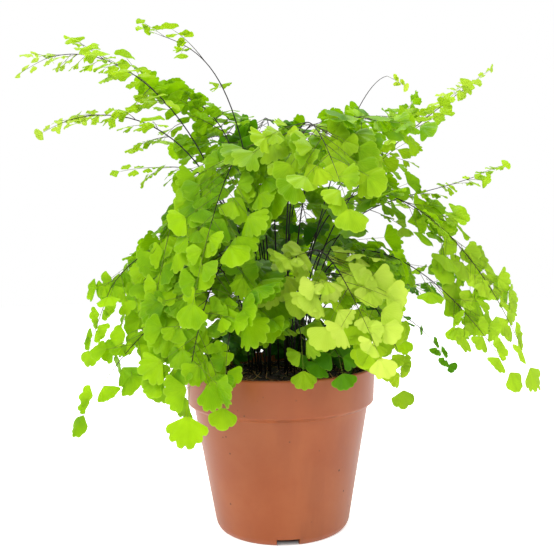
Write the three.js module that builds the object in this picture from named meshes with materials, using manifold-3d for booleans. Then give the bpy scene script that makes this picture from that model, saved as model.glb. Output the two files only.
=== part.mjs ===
// A maidenhair fern in a plastic nursery pot. Millimetres, +Z up, origin at the centre of the
// pot's foot, on the surface that the pot stands on. -Y is the side seen from the front.
// The pot, the soil and each frond are solids of their own. A frond is one grown piece: a wiry
// stem, its side branches and its lobed leaflets, fused together.
import * as THREE from 'three';
import { mergeVertices } from 'three/addons/utils/BufferGeometryUtils.js';
import Module from 'manifold-3d';

const wasm = await Module();
wasm.setup();

// ---- driving dimensions ----

const pot = {
  rimRadius: 60, height: 100.6, rimHeight: 22, rimTaper: 1.1, rimStep: 3.7, rimChamfer: 2.4,
  baseRadius: 42.5, cornerRadius: 3.2, wall: 1.8, lip: 0.8,
  floorLift: 2.4, floorThickness: 1.6, footWidth: 3, sides: 34,
  slot: { count: 4, width: 14, height: 4.1, inner: 35, past: 10, turn: 4 }, // drainage notches
};
const soil = {
  top: 94, crown: 2, flat: 36, slope: 7, gap: 0.35, sides: 24,
  lump: 0.7, lumpAcross: 0.31, lumpAlong: 0.27, lumpShift: 1.3, // rise of its lumps, and their waves
  hole: 2.6, // width of the square holes that the stems stand in
  holeBelow: 1, // how far they run on below the foot of a stem
};
const stem = { foot: 1.25, tip: 1.05, sunk: 8.6, bareSteps: 2, greenSteps: 3 }; // square in section
const blade = {
  thickness: 0.7,
  halfAngle: 64, // degrees from the line of an end leaflet to the straight side of its fan
  sideHalfAngle: 52, // the same for a leaflet at the side of its branch
  sideTurn: 67, // degrees between a branch and the leaflets at its sides
  cornerReach: 0.86, // of the leaflet's length, at the fan's corners
  notchReach: 0.76, // of the length, between two lobes
  ribHalfWidth: 0.3,
  sunk: 0.05, // how far a branch runs past the middle of its stem
  arch: 0.004, // bend of a branch's leaflets to both sides, per mm
  droop: 0.0045, // sag of a branch along its length, per mm
  bigFrom: 11.5, // length from which a leaflet has three lobes instead of two
  leastBelow: 8.6, // length below which its two lobes are pointed
  stalk: 0.16, // stalk of a leaflet that grows from the stem itself, over its length
  firstFoot: 0.55, // from the stem to the first side leaflet of a branch, at least, over the length
  firstBack: 0.8, // from a branch's end to its first side leaflet, over the length
  nextBack: 0.68, // from each side leaflet to the next one, on the other side
};
const growth = {
  nodePitch: 2, // distance between nodes along a stem, over the length of a leaflet
  nodesAtMost: 6,
  firstNode: 0.02, // place of the first node and of the last one along the leafy stem
  lastNode: 0.94,
  keptAtSides: 3, // leaflets along a side branch, besides the one at its end
  keptAtEnd: 4, // the same for the branch that ends a frond
  turn: [64, 52], // degrees between the stem and a side branch, at the first leaflets and at the tip
  singleTurn: 72, // the same for a leaflet that grows from the stem itself
  turnSpread: 12,
  singleBelow: 1.2, // a branch of fewer leaflet lengths is such a leaflet
  shorten: 0.7, // power by which the branches shorten towards the tip
  lengths: [0.85, 1.15], // shares of the full length and size that a branch may have
  sizes: [0.88, 1.14],
  sideSizes: [0.8, 0.96],
  fall: [0.15, 0.5], // how far a side branch hangs, over its length
  faceUp: [1, 0.4], // parts of the leaves' facing, where the stem rises and where it hangs
  faceOut: [0.1, 0.5],
  faceBroad: [0.5, 0.85],
  faceSpread: 0.5,
  frontBelow: 0.25, // part of its outward direction below which a frond turns to the front
  rises: 0.6, // height of the stem's direction above which it counts as rising
  hangs: -0.6, // and below which it hangs
};
const clearance = 1.3; // kept between the middle of a blade and whatever passes it
const ownClearance = 0.8; // the same between the blades of one frond
const fanBox = {
  middle: 0.64, halfLength: 0.38, halfWidth: 0.82, sideHalfWidth: 0.72, // over the leaflet's length
  foot: 0.14, footHalfLength: 0.16, footHalfWidth: 0.28, // the same for the box round its foot
  own: 0.85, // of the box, where leaflets of one frond meet
};

// Each frond lies in an upright plane through the pot's axis. heading is that plane's direction
// in degrees, anticlockwise from +X; path is [reach, height] at a third, at two thirds and at the
// tip of the stem; bare is the share of the stem with no leaflets; spread is the longest side
// branch; leaf is the largest blade length, and tip the share of it that is left at the tip; end
// is the share of the leafy stem that its end branch makes up; lift raises the side branches of a
// frond that stands up, over their length.
const fronds = [
  { name: 'frond_front_left_fall', heading: 243, root: 20, path: [[42, 174], [83, 150], [104, 94]],
    bare: 0.36, spread: 34, leaf: 14.5, tip: 0.95, end: 0.22, tone: 'fresh' },
  { name: 'frond_pale_front_right', heading: 295, root: 20, path: [[40, 170], [80, 158], [113, 122]],
    bare: 0.32, spread: 34, leaf: 12.5, tip: 0.8, end: 0.28, tone: 'pale' },
  { name: 'frond_right_arch', heading: 345, root: 14, path: [[37, 199], [95, 191], [147, 110]],
    bare: 0.34, spread: 26, leaf: 12.5, tip: 0.9, end: 0.2, tone: 'fresh' },
  { name: 'frond_left_fall', heading: 225, root: 17, path: [[35, 188], [70, 203], [94, 150]],
    bare: 0.38, spread: 32, leaf: 14, tip: 0.85, end: 0.28, tone: 'fresh' },
  { name: 'frond_centre_front', heading: 288, root: 9, path: [[30, 228], [70, 238], [108, 196]],
    bare: 0.4, spread: 38, leaf: 13, tip: 0.9, end: 0.28, tone: 'bright' },
  { name: 'frond_front_high', heading: 247, root: 16, path: [[30, 221], [70, 214], [106, 154]],
    bare: 0.36, spread: 34, leaf: 12.5, tip: 0.85, end: 0.28, tone: 'fresh' },
  { name: 'frond_front_low', heading: 251, root: 23, path: [[38, 150], [72, 142], [91, 97]],
    bare: 0.36, spread: 30, leaf: 12.5, tip: 0.8, end: 0.28, tone: 'fresh' },
  { name: 'frond_front_right_fall', heading: 309, root: 23, path: [[43, 158], [84, 140], [102, 101]],
    bare: 0.4, spread: 27, leaf: 11, tip: 0.8, end: 0.28, tone: 'bright' },
  { name: 'frond_second_right_arch', heading: 333, root: 19, path: [[37, 165], [86, 163], [138, 108]],
    bare: 0.4, spread: 27, leaf: 11.5, tip: 0.8, end: 0.22, tone: 'fresh' },
  { name: 'frond_far_left_fall', heading: 199, root: 20, path: [[36, 170], [84, 173], [116, 122]],
    bare: 0.4, spread: 29, leaf: 11.5, tip: 0.7, end: 0.28, tone: 'fresh' },
  { name: 'frond_low_left_fall', heading: 213, root: 24, path: [[40, 147], [84, 134], [125, 89]],
    bare: 0.45, spread: 25, leaf: 11, tip: 0.95, end: 0.28, tone: 'fresh' },
  { name: 'frond_long_left_spray', heading: 187, root: 11, path: [[44, 228], [100, 290], [154, 284]],
    bare: 0.42, spread: 47, leaf: 11, tip: 0.46, end: 0.16, lift: 0.35, tone: 'bright' },
  { name: 'frond_left_spray', heading: 206, root: 14, path: [[44, 213], [96, 251], [141, 240]],
    bare: 0.5, spread: 36, leaf: 9.5, tip: 0.5, end: 0.2, lift: 0.35, tone: 'bright' },
  { name: 'frond_top_spray', heading: 168, root: 7, path: [[22, 240], [50, 300], [88, 320]],
    bare: 0.5, spread: 46, leaf: 9, tip: 0.6, end: 0.2, lift: 0.35, tone: 'bright' },
  { name: 'frond_back_left_high', heading: 150, root: 11, path: [[28, 225], [62, 275], [105, 294]],
    bare: 0.44, spread: 40, leaf: 11.5, tip: 0.6, end: 0.28, lift: 0.35, tone: 'fresh' },
  { name: 'frond_left_shelf', heading: 196, root: 15, path: [[30, 192], [56, 224], [97, 222]],
    bare: 0.4, spread: 34, leaf: 11, tip: 0.54, end: 0.28, lift: 0.2, tone: 'fresh' },
  { name: 'frond_high_right', heading: 18, root: 10, path: [[38, 188], [92, 250], [159, 298]],
    bare: 0.48, spread: 43, leaf: 10.5, tip: 0.48, end: 0.16, lift: 0.6, tone: 'bright' },
  { name: 'frond_back_right_high', heading: 34, root: 11, path: [[34, 192], [84, 247], [124, 284]],
    bare: 0.48, spread: 38, leaf: 11, tip: 0.7, end: 0.28, lift: 0.5, tone: 'fresh' },
  { name: 'frond_right_wisp', heading: 3, root: 16, path: [[36, 178], [80, 206], [146, 226]],
    bare: 0.52, spread: 34, leaf: 8, tip: 0.7, end: 0.18, lift: 0.2, tone: 'bright' },
  { name: 'frond_canopy_right', heading: 322, root: 8, path: [[26, 224], [58, 250], [98, 240]],
    bare: 0.4, spread: 38, leaf: 13, tip: 0.8, end: 0.28, tone: 'fresh' },
  { name: 'frond_canopy_back_right', heading: 62, root: 8, path: [[26, 230], [64, 263], [112, 257]],
    bare: 0.38, spread: 43, leaf: 13, tip: 0.8, end: 0.28, tone: 'fresh' },
  { name: 'frond_canopy_back', heading: 98, root: 8, path: [[22, 232], [56, 268], [104, 262]],
    bare: 0.38, spread: 43, leaf: 13, tip: 0.8, end: 0.28, tone: 'deep' },
  { name: 'frond_canopy_back_left', heading: 126, root: 12, path: [[26, 222], [62, 258], [108, 252]],
    bare: 0.4, spread: 40, leaf: 12.5, tip: 0.6, end: 0.28, tone: 'fresh' },
  { name: 'frond_short_front', heading: 280, root: 25, path: [[34, 122], [56, 133], [70, 110]],
    bare: 0.5, spread: 17, leaf: 11, tip: 0.9, end: 0.28, tone: 'bright' },
  { name: 'frond_rim_shade', heading: 299, root: 27, path: [[38, 117], [58, 120], [70, 106]],
    bare: 0.5, spread: 16, leaf: 10.5, tip: 0.9, end: 0.28, tone: 'deep' },
  { name: 'frond_thin_right', heading: 14, root: 21, path: [[35, 141], [78, 149], [126, 156]],
    bare: 0.55, spread: 18, leaf: 8, tip: 0.7, end: 0.28, tone: 'deep' },
  { name: 'frond_low_right', heading: 350, root: 25, path: [[36, 134], [70, 136], [104, 104]],
    bare: 0.45, spread: 17, leaf: 8.5, tip: 0.6, end: 0.28, tone: 'deep' },
  { name: 'frond_young', heading: 24, root: 5, path: [[33, 202], [66, 276], [96, 286]],
    bare: 0.5, spread: 0, leaf: 5, tip: 0.8, end: 0.3, tone: 'pale' },
  { name: 'frond_back_right_fall', heading: 42, root: 20, path: [[40, 174], [86, 172], [122, 112]],
    bare: 0.38, spread: 32, leaf: 13, tip: 0.75, end: 0.28, tone: 'fresh' },
  { name: 'frond_back_fall_a', heading: 75, root: 20, path: [[40, 200], [80, 200], [108, 138]],
    bare: 0.38, spread: 36, leaf: 13, tip: 0.75, end: 0.28, tone: 'fresh' },
  { name: 'frond_back_fall_b', heading: 110, root: 20, path: [[40, 186], [80, 186], [110, 128]],
    bare: 0.38, spread: 36, leaf: 13, tip: 0.75, end: 0.28, tone: 'fresh' },
  { name: 'frond_back_left_fall', heading: 140, root: 20, path: [[40, 182], [88, 184], [126, 118]],
    bare: 0.38, spread: 36, leaf: 13, tip: 0.75, end: 0.28, tone: 'fresh' },
  { name: 'frond_left_back_fall', heading: 170, root: 21, path: [[36, 160], [76, 166], [106, 126]],
    bare: 0.4, spread: 31, leaf: 11.5, tip: 0.75, end: 0.28, tone: 'fresh' },
  { name: 'frond_back_low', heading: 92, root: 26, path: [[40, 134], [72, 138], [98, 98]],
    bare: 0.42, spread: 25, leaf: 11, tip: 0.75, end: 0.28, tone: 'deep' },
];

const tones = { deep: 0x2f7a0a, fresh: 0x6fae10, bright: 0x93c41c, pale: 0xb4d63a };

// ---- small helpers ----

const up = new THREE.Vector3(0, 0, 1);
const radians = THREE.MathUtils.degToRad;
const smooth = (x) => Math.min(Math.max(x, 0), 1);
const sum = (...terms) => terms.reduce((v, [p, k]) => v.addScaledVector(p, k), new THREE.Vector3());

const segments = (line) => line.slice(1).map((q, i) => [line[i], q]);

const mix = (a, b, share) => a + (b - a) * share;

// A number from 0 to 1 that depends only on its three whole-number keys.
function chance(a, b, c) {
  const x = Math.sin(a * 12.9898 + b * 78.233 + c * 37.719 + 4.137) * 43758.5453;
  return x - Math.floor(x);
}

function toSolid(geometry) {
  const bare = geometry.clone();
  bare.deleteAttribute('normal');
  bare.deleteAttribute('uv');
  const merged = mergeVertices(bare, 1e-4);
  return new wasm.Manifold(new wasm.Mesh({
    numProp: 3,
    vertProperties: merged.attributes.position.array,
    triVerts: new Uint32Array(merged.index.array),
  }));
}

function toGeometry(solid) {
  const mesh = solid.getMesh();
  const geometry = new THREE.BufferGeometry();
  geometry.setAttribute('position', new THREE.BufferAttribute(mesh.vertProperties, 3));
  geometry.setIndex(new THREE.BufferAttribute(mesh.triVerts, 1));
  geometry.computeVertexNormals();
  return geometry;
}

function indexed(points, faces) {
  const geometry = new THREE.BufferGeometry();
  const flat = points.flatMap((p) => p.toArray());
  geometry.setAttribute('position', new THREE.Float32BufferAttribute(flat, 3));
  geometry.setIndex(faces.flat());
  return geometry;
}

function mesh(name, solid, colour, roughness) {
  const material = new THREE.MeshStandardMaterial({ color: colour, roughness, metalness: 0 });
  const made = new THREE.Mesh(toGeometry(solid), material);
  made.name = name;
  return made;
}

// ---- pot and soil ----

// Half-section of the pot, [radius, height], from the middle of its underside, up the outside
// and down the inside.
function potSection() {
  const p = pot;
  const rimFoot = p.height - p.rimHeight;
  const rimBottom = p.rimRadius - p.rimTaper;
  const bodyTop = rimBottom - p.rimStep;
  const inside = p.baseRadius - p.wall;
  const floorTop = p.floorLift + p.floorThickness;
  return [
    [0, p.floorLift], [p.baseRadius - p.cornerRadius / 2 - p.footWidth, p.floorLift],
    [p.baseRadius - p.cornerRadius / 2 - p.footWidth, 0], [p.baseRadius - p.cornerRadius / 2, 0],
    [p.baseRadius, p.cornerRadius], [bodyTop, rimFoot - p.rimChamfer], [rimBottom, rimFoot],
    [p.rimRadius, p.height - p.lip], [p.rimRadius - p.lip, p.height],
    [p.rimRadius - p.wall, p.height], [bodyTop - p.wall, rimFoot - p.rimChamfer],
    [inside, floorTop], [0, floorTop],
  ];
}

function potSolid() {
  const section = potSection().map(([r, z]) => new THREE.Vector2(r, z));
  let body = toSolid(new THREE.LatheGeometry(section, pot.sides).rotateX(Math.PI / 2));
  const s = pot.slot;
  const length = pot.baseRadius + s.past - s.inner;
  for (let i = 0; i < s.count; i++) {
    const cut = new THREE.BoxGeometry(length, s.width, 2 * s.height);
    cut.translate(s.inner + length / 2, 0, 0);
    cut.rotateZ(radians(270 + s.turn + (i * 360) / s.count));
    body = body.subtract(toSolid(cut));
  }
  return body;
}

function soilSolid(stalks) {
  const gap = soil.gap;
  const section = potSection();
  const [floorRadius, floorTop] = section[section.length - 2];
  const [stepRadius, stepHeight] = section[section.length - 3];
  const [mouthRadius, mouthHeight] = section[section.length - 4];
  const flare = (mouthRadius - stepRadius) / (mouthHeight - stepHeight);
  const edge = stepRadius + flare * (soil.top - stepHeight) - 2 * gap;
  const profile = [
    [0, floorTop + gap], [floorRadius - gap, floorTop + gap], [stepRadius - 2 * gap, stepHeight],
    [edge, soil.top - soil.crown / 2], [edge - soil.slope, soil.top],
    [soil.flat, soil.top + soil.crown], [0, soil.top + soil.crown],
  ].map(([r, z]) => new THREE.Vector2(r, z));
  const lathe = new THREE.LatheGeometry(profile, soil.sides).rotateX(Math.PI / 2);
  const position = lathe.attributes.position;
  for (let i = 0; i < position.count; i++) {
    const [x, y, z] = [position.getX(i), position.getY(i), position.getZ(i)];
    const lump = Math.sin(soil.lumpAcross * x + soil.lumpShift) * Math.cos(soil.lumpAlong * y);
    if (Math.abs(z - soil.top) < soil.crown / 4) position.setZ(i, z + soil.lump * lump);
  }
  return stalks.reduce((body, [foot, next]) => body.subtract(drill(foot, next)), toSolid(lathe));
}

// A square hole that runs along the foot of a stem, a little wider and deeper than it.
function drill(foot, next) {
  const lean = sum([next, 1], [foot, -1]).normalize();
  const length = 3 * stem.sunk;
  const hole = new THREE.CylinderGeometry(soil.hole / Math.SQRT2, soil.hole / Math.SQRT2, length, 4);
  hole.applyQuaternion(new THREE.Quaternion().setFromUnitVectors(new THREE.Vector3(0, 1, 0), lean));
  const middle = sum([foot, 1], [lean, length / 2 - soil.holeBelow]);
  return toSolid(hole.translate(middle.x, middle.y, middle.z));
}

// ---- how a frond grows ----

// The cubic through four points at 0, 1/3, 2/3 and 1.
function through(points, t) {
  const [a, b, c] = [t - 1 / 3, t - 2 / 3, t - 1];
  return sum([points[0], -4.5 * a * b * c], [points[1], 13.5 * t * b * c],
    [points[2], -13.5 * t * a * c], [points[3], 4.5 * t * a * b]);
}

const polar = (degrees, reach, height) =>
  new THREE.Vector3(reach * Math.cos(radians(degrees)), reach * Math.sin(radians(degrees)), height);

// The line of a stem, from its foot to where its end branch takes over, and its nodes, where the
// side branches leave it. along runs from 0 at the first leaflets to 1 at the frond's tip.
function layStem(frond) {
  const foot = polar(frond.heading, frond.root, soil.top + soil.crown - stem.sunk);
  const stations = [foot, ...frond.path.map(([reach, height]) => polar(frond.heading, reach, height))];
  const bare = Array.from({ length: stem.bareSteps }, (_, i) => (frond.bare * i) / stem.bareSteps);
  const green = Array.from({ length: stem.greenSteps + 1 },
    (_, i) => frond.bare + ((1 - frond.bare) * (1 - frond.end) * i) / stem.greenSteps);
  const line = [...bare, ...green].map((t) => through(stations, t));
  const leafy = line.slice(stem.bareSteps);
  const whole = segments(leafy).reduce((length, [p, q]) => length + p.distanceTo(q), 0);
  const pitch = (growth.nodePitch * frond.leaf * (1 + frond.tip)) / 2;
  const count = frond.spread ? Math.min(Math.max(Math.round(whole / pitch), 2), growth.nodesAtMost) : 0;
  const nodes = Array.from({ length: count },
    (_, i) => nodeAt(leafy, mix(growth.firstNode, growth.lastNode, i / (count - 1)), frond));
  return { side: polar(frond.heading + 90, 1, 0), out: polar(frond.heading, 1, 0), nodes, line,
    tip: through(stations, 1) };
}

// The node at a share of the way along a leafy stretch of stem.
function nodeAt(leafy, share, frond) {
  const at = share * (leafy.length - 1);
  const k = Math.floor(at);
  return {
    along: share * (1 - frond.end),
    point: sum([leafy[k], 1 - (at - k)], [leafy[k + 1], at - k]),
    tangent: sum([leafy[k + 1], 1], [leafy[k], -1]).normalize(),
  };
}

// The way the leaves' upper side turns: up, outwards where the stem hangs, and to the nearer of
// the plant's two broad sides.
function facing(tangent, out, index, key) {
  const hang = smooth((growth.rises - tangent.z) / (growth.rises - growth.hangs));
  const broad = polar(out.y < growth.frontBelow ? 270 : 90, 1, 0);
  const normal = sum([up, mix(...growth.faceUp, hang)], [out, mix(...growth.faceOut, hang)],
    [broad, mix(...growth.faceBroad, hang)]);
  normal.x += growth.faceSpread * (chance(index, key, 8) - 0.5);
  normal.y += growth.faceSpread * (chance(index, key, 9) - 0.5);
  return normal;
}

const endKey = 90; // number of the branch that ends a frond

// The branches of a frond: one that ends it, and side branches, longest low on the stem. Each
// lies in a plane of its own with its leaflets: root is its foot, away runs along it and normal
// is its upper side.
function layBranches(frond, index, laid) {
  const endFoot = laid.line[laid.line.length - 1];
  const reach = endFoot.distanceTo(laid.tip);
  const endWay = sum([laid.tip, 1], [endFoot, -1], [up, blade.droop * reach * reach]).normalize();
  const end = {
    index, root: endFoot, away: endWay, normal: facing(endWay, laid.out, index, endKey), length: reach,
    size: frond.leaf * frond.tip, hand: 1, key: endKey, kept: growth.keptAtEnd,
  };
  const sides = laid.nodes.map(({ along, point, tangent }, i) => {
    const hand = i % 2 ? 1 : -1;
    const size = frond.leaf * mix(1, frond.tip, along) * mix(...growth.sizes, chance(index, i, 5));
    const full = frond.spread * (1 - along) ** growth.shorten * mix(...growth.lengths, chance(index, i, 2));
    const single = full < growth.singleBelow * size;
    const turn = radians((single ? growth.singleTurn : mix(...growth.turn, along))
      + growth.turnSpread * (chance(index, i, 1) - 0.5));
    const away = sum([tangent, Math.cos(turn)], [laid.side, hand * Math.sin(turn)]);
    away.z += (frond.lift ?? 0) - mix(...growth.fall, chance(index, i, 3));
    const length = single ? stem.tip / 2 + blade.stalk * size : full;
    return {
      index, root: point, away: away.normalize(), normal: facing(tangent, laid.out, index, i), length,
      size, single, hand, key: i, kept: growth.keptAtSides,
    };
  });
  return [end, ...sides];
}

// The poses that a branch tries until it is clear of its neighbours: [twist, lift, share of size].
const poses = [
  [0, 0, 1], [0.35, 0, 1], [-0.35, 0, 1], [0, 0.3, 1], [0, -0.35, 1], [0.6, 0.3, 0.95],
  [-0.6, 0.3, 0.95], [0.6, -0.35, 0.9], [-0.6, -0.35, 0.9], [0, 0.7, 0.85], [0, -0.8, 0.8],
  [1, 0, 0.75], [-1, 0, 0.75], [0, 0.2, 0.6],
];

function poseBranch(branch, [twist, lift, share]) {
  const away = sum([branch.away, 1], [up, lift]).normalize();
  const flat = sum([branch.normal, 1], [away, -branch.normal.dot(away)]).normalize();
  const aside = new THREE.Vector3().crossVectors(away, flat);
  const normal = sum([flat, Math.cos(twist)], [aside, Math.sin(twist)]);
  const across = new THREE.Vector3().crossVectors(away, normal);
  const length = branch.length * share;
  const size = branch.size * share;
  const half = branch.single ? blade.sideHalfAngle : blade.halfAngle;
  const leaves = [{ y: length, turn: 0, size, half }];
  const count = Math.floor((length / size - blade.firstFoot - blade.firstBack) / blade.nextBack) + 1;
  for (let k = 1; k <= count; k++) {
    leaves.push({
      y: length - size * (blade.firstBack + blade.nextBack * (k - 1)),
      turn: branch.hand * (k % 2 ? 1 : -1) * blade.sideTurn,
      size: size * mix(...growth.sideSizes, chance(branch.index, branch.key, 20 + k)),
      half: blade.sideHalfAngle,
    });
  }
  return { ...branch, away, normal, across, length, size, leaves };
}

// Where a point of a branch's plane lies: x across the branch, y along it, lift off the plane.
function onBranch(b, x, y, lift) {
  return sum([b.root, 1], [b.across, x], [b.away, y], [b.normal, lift - blade.arch * x * x],
    [up, -blade.droop * y * y]);
}

// A point of a leaflet in its branch's plane, at an angle from the leaflet's line and a reach
// over its length.
function onLeaf(leaf, angle, reach) {
  const turned = radians(leaf.turn + angle);
  return [leaf.size * reach * Math.sin(turned), leaf.y + leaf.size * reach * Math.cos(turned)];
}

// ---- keeping the fronds clear of each other ----

// The boxes round a leaflet, one round its fan and a small one round its foot: their middles,
// their axes and half their sizes.
function leafBoxes(b, leaf) {
  const at = (reach) => onBranch(b, ...onLeaf(leaf, 0, reach), 0);
  const [foot, middle] = [at(fanBox.foot), at(fanBox.middle)];
  const along = sum([middle, 1], [foot, -1]).normalize();
  const aside = sum([b.across, Math.cos(radians(leaf.turn))], [b.away, -Math.sin(radians(leaf.turn))]);
  aside.addScaledVector(along, -aside.dot(along)).normalize();
  const axes = [aside, along, new THREE.Vector3().crossVectors(aside, along)];
  const wide = leaf.turn ? fanBox.sideHalfWidth : fanBox.halfWidth;
  return [
    { middle, axes, half: [wide * leaf.size, fanBox.halfLength * leaf.size], index: b.index },
    { middle: foot, axes, half: [fanBox.footHalfWidth * leaf.size, fanBox.footHalfLength * leaf.size],
      index: b.index },
  ];
}

// The edges of a leaflet and its middle line, as segments.
function leafEdges(b, leaf) {
  const { middle, axes: [a, along], half: [w, l] } = leafBoxes(b, leaf)[0];
  const corner = (i, j) => sum([middle, 1], [a, i * w], [along, j * l]);
  const apex = onBranch(b, 0, leaf.y, 0);
  const rim = [apex, corner(1, -0.1), corner(0.7, 0.8), corner(0, 1), corner(-0.7, 0.8),
    corner(-1, -0.1), apex];
  return [...segments(rim), [apex, corner(0, 1)]];
}

// Whether the segment from p to q enters the box, grown by margin on every side.
function enters(p, q, box, grow, margin) {
  let [from, to] = [0, 1];
  const sizes = [grow * box.half[0] + margin, grow * box.half[1] + margin, margin];
  for (let k = 0; k < 3; k++) {
    const axis = box.axes[k];
    const a = (p.x - box.middle.x) * axis.x + (p.y - box.middle.y) * axis.y + (p.z - box.middle.z) * axis.z;
    const d = (q.x - p.x) * axis.x + (q.y - p.y) * axis.y + (q.z - p.z) * axis.z;
    const slope = Math.abs(d) < 1e-9 ? 1e-9 : d;
    const [t0, t1] = [(-sizes[k] - a) / slope, (sizes[k] - a) / slope];
    from = Math.max(from, Math.min(t0, t1));
    to = Math.min(to, Math.max(t0, t1));
    if (from > to) return false;
  }
  return true;
}

// The distance between two segments.
function apart(p, q, r, s) {
  const [d1, d2, w] = [sum([q, 1], [p, -1]), sum([s, 1], [r, -1]), sum([p, 1], [r, -1])];
  const [a, b, c, d, e] = [d1.dot(d1), d1.dot(d2), d2.dot(d2), d1.dot(w), d2.dot(w)];
  const flat = a * c - b * b;
  const first = flat > 1e-9 ? smooth((b * e - c * d) / flat) : 0;
  const u = smooth((b * first + e) / c);
  const t = smooth((b * u - d) / a);
  return sum([w, 1], [d1, t], [d2, -u]).length();
}

// Whether a point is inside the pot or its soil, or too near them.
function inPot(point) {
  const reach = Math.hypot(point.x, point.y);
  return point.z < pot.height + 2 * clearance && reach < pot.rimRadius + 2 * clearance;
}

const placed = { boxes: [], edges: [] };

// Whether a branch in its pose would touch what is placed already. Branches of one frond may
// meet, because they are fused, but they keep off each other's leaflets.
function blocked(b, kept) {
  const rib = [onBranch(b, 0, b.length / 6, 0), onBranch(b, 0, b.length, 0)];
  const boxes = kept.flatMap((leaf) => leafBoxes(b, leaf));
  const edges = [rib, ...kept.flatMap((leaf) => leafEdges(b, leaf))];
  if (edges.some(([p, q]) => inPot(p) || inPot(q))) return true;
  const reach = b.length + 1.5 * b.size;
  for (const other of placed.boxes) {
    if (other.middle.distanceTo(b.root) > reach + 1.5 * other.half[0]) continue;
    const own = other.index === b.index;
    const [grow, margin] = own ? [fanBox.own, ownClearance] : [1, clearance];
    if (edges.some(([p, q]) => enters(p, q, other, grow, margin))) return true;
  }
  for (const edge of placed.edges) {
    const own = edge.index === b.index;
    const nearest = Math.min(edge.p.distanceTo(b.root), edge.q.distanceTo(b.root));
    if (nearest > reach + edge.p.distanceTo(edge.q) || (own && edge.stem)) continue;
    const [grow, margin] = own ? [fanBox.own, ownClearance] : [1, clearance];
    if (boxes.some((box) => enters(edge.p, edge.q, box, grow, margin))) return true;
    if (!own && edge.rod && apart(edge.p, edge.q, ...rib) < clearance + blade.ribHalfWidth) return true;
  }
  return false;
}

// Every stem stands first, and each branch then bends clear of what is there already.
function growAll() {
  const laid = fronds.map(layStem);
  laid.forEach((l, index) => {
    for (const [p, q] of segments(l.line)) placed.edges.push({ index, p, q, stem: true, rod: true });
  });
  return laid.map((l, index) => {
    const branches = [];
    for (const branch of layBranches(fronds[index], index, l)) {
      for (const pose of poses) {
        const set = poseBranch(branch, pose);
        const kept = set.leaves.slice(0, 1 + branch.kept);
        if (blocked(set, kept)) continue;
        placed.boxes.push(...kept.flatMap((leaf) => leafBoxes(set, leaf)));
        placed.edges.push({ index, p: set.root, q: onBranch(set, 0, set.length, 0), rod: true });
        const margins = kept.flatMap((leaf) => leafEdges(set, leaf));
        placed.edges.push(...margins.map(([p, q]) => ({ index, p, q })));
        branches.push({ ...set, kept });
        break;
      }
    }
    return { frond: fronds[index], line: l.line, side: l.side, branches };
  });
}

// ---- frond solids ----

// A square rod through a list of points, its thickness running evenly from foot to tip, with two
// of its faces turned to the sides that the branches leave from.
function rod(points, side, foot, tip) {
  const rings = points.flatMap((point, i) => {
    const [before, after] = [points[Math.max(i - 1, 0)], points[Math.min(i + 1, points.length - 1)]];
    const ahead = sum([after, 1], [before, -1]).normalize();
    const across = sum([side, 1], [ahead, -side.dot(ahead)]).normalize();
    const other = new THREE.Vector3().crossVectors(ahead, across);
    const half = (foot + ((tip - foot) * i) / (points.length - 1)) / 2;
    return [[1, -1], [1, 1], [-1, 1], [-1, -1]].map(
      ([a, b]) => sum([point, 1], [across, a * half], [other, b * half]));
  });
  const faces = [];
  for (let i = 0; i < 4 * (points.length - 1); i += 4) {
    for (let k = 0; k < 4; k++) {
      const [a, b] = [i + k, i + ((k + 1) % 4)];
      faces.push([a, b, b + 4], [a, b + 4, a + 4]);
    }
  }
  const end = 4 * (points.length - 1);
  faces.push([0, 2, 1], [0, 3, 2], [end, end + 1, end + 2], [end, end + 2, end + 3]);
  return toSolid(indexed(rings, faces));
}

// The lobed margin of a leaflet from its right corner to its left one, as points of the
// branch's plane.
function lobes(leaf) {
  const { cornerReach: corner, notchReach: notch } = blade;
  const big = [[1, corner], [0.62, 1], [0.36, notch], [0.22, 0.99], [-0.22, 0.99], [-0.36, notch],
    [-0.62, 1], [-1, corner]];
  const small = [[1, corner], [0.42, 1], [0, notch], [-0.42, 1], [-1, corner]];
  const least = [[0.84, 1], [0, notch], [-0.84, 1]];
  const outline = leaf.size >= blade.bigFrom ? big : leaf.size < blade.leastBelow ? least : small;
  return outline.map(([share, reach]) => onLeaf(leaf, share * leaf.half, reach));
}

// Where a straight side of a leaflet's fan leaves the edge of the rib.
function ribPoint(leaf, share) {
  const angle = radians(leaf.turn + share * leaf.half);
  const x = blade.ribHalfWidth * Math.sign(Math.sin(angle));
  return [x, leaf.y + x / Math.tan(angle)];
}

// A branch with its leaflets: one thin arched blade, cut in to the rib between the leaflets.
function branchSolid(b) {
  const [end, ...sides] = b.kept;
  const leaflet = (leaf) => [ribPoint(leaf, 1), ...lobes(leaf), ribPoint(leaf, -1)];
  const right = sides.filter((l) => l.turn > 0).sort((l, m) => l.y - m.y);
  const left = sides.filter((l) => l.turn < 0).sort((l, m) => m.y - l.y);
  const outline = [[blade.ribHalfWidth, -blade.sunk], ...right.flatMap(leaflet), ...leaflet(end),
    ...left.flatMap(leaflet), [-blade.ribHalfWidth, -blade.sunk]];
  const shape = new THREE.Shape(outline.map(([x, y]) => new THREE.Vector2(x, y)));
  const plate = new THREE.ExtrudeGeometry(shape, { depth: blade.thickness, bevelEnabled: false });
  const position = plate.attributes.position;
  for (let i = 0; i < position.count; i++) {
    const lift = position.getZ(i) - blade.thickness / 2;
    const point = onBranch(b, position.getX(i), position.getY(i), lift);
    position.setXYZ(i, point.x, point.y, point.z);
  }
  return toSolid(plate);
}

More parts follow.
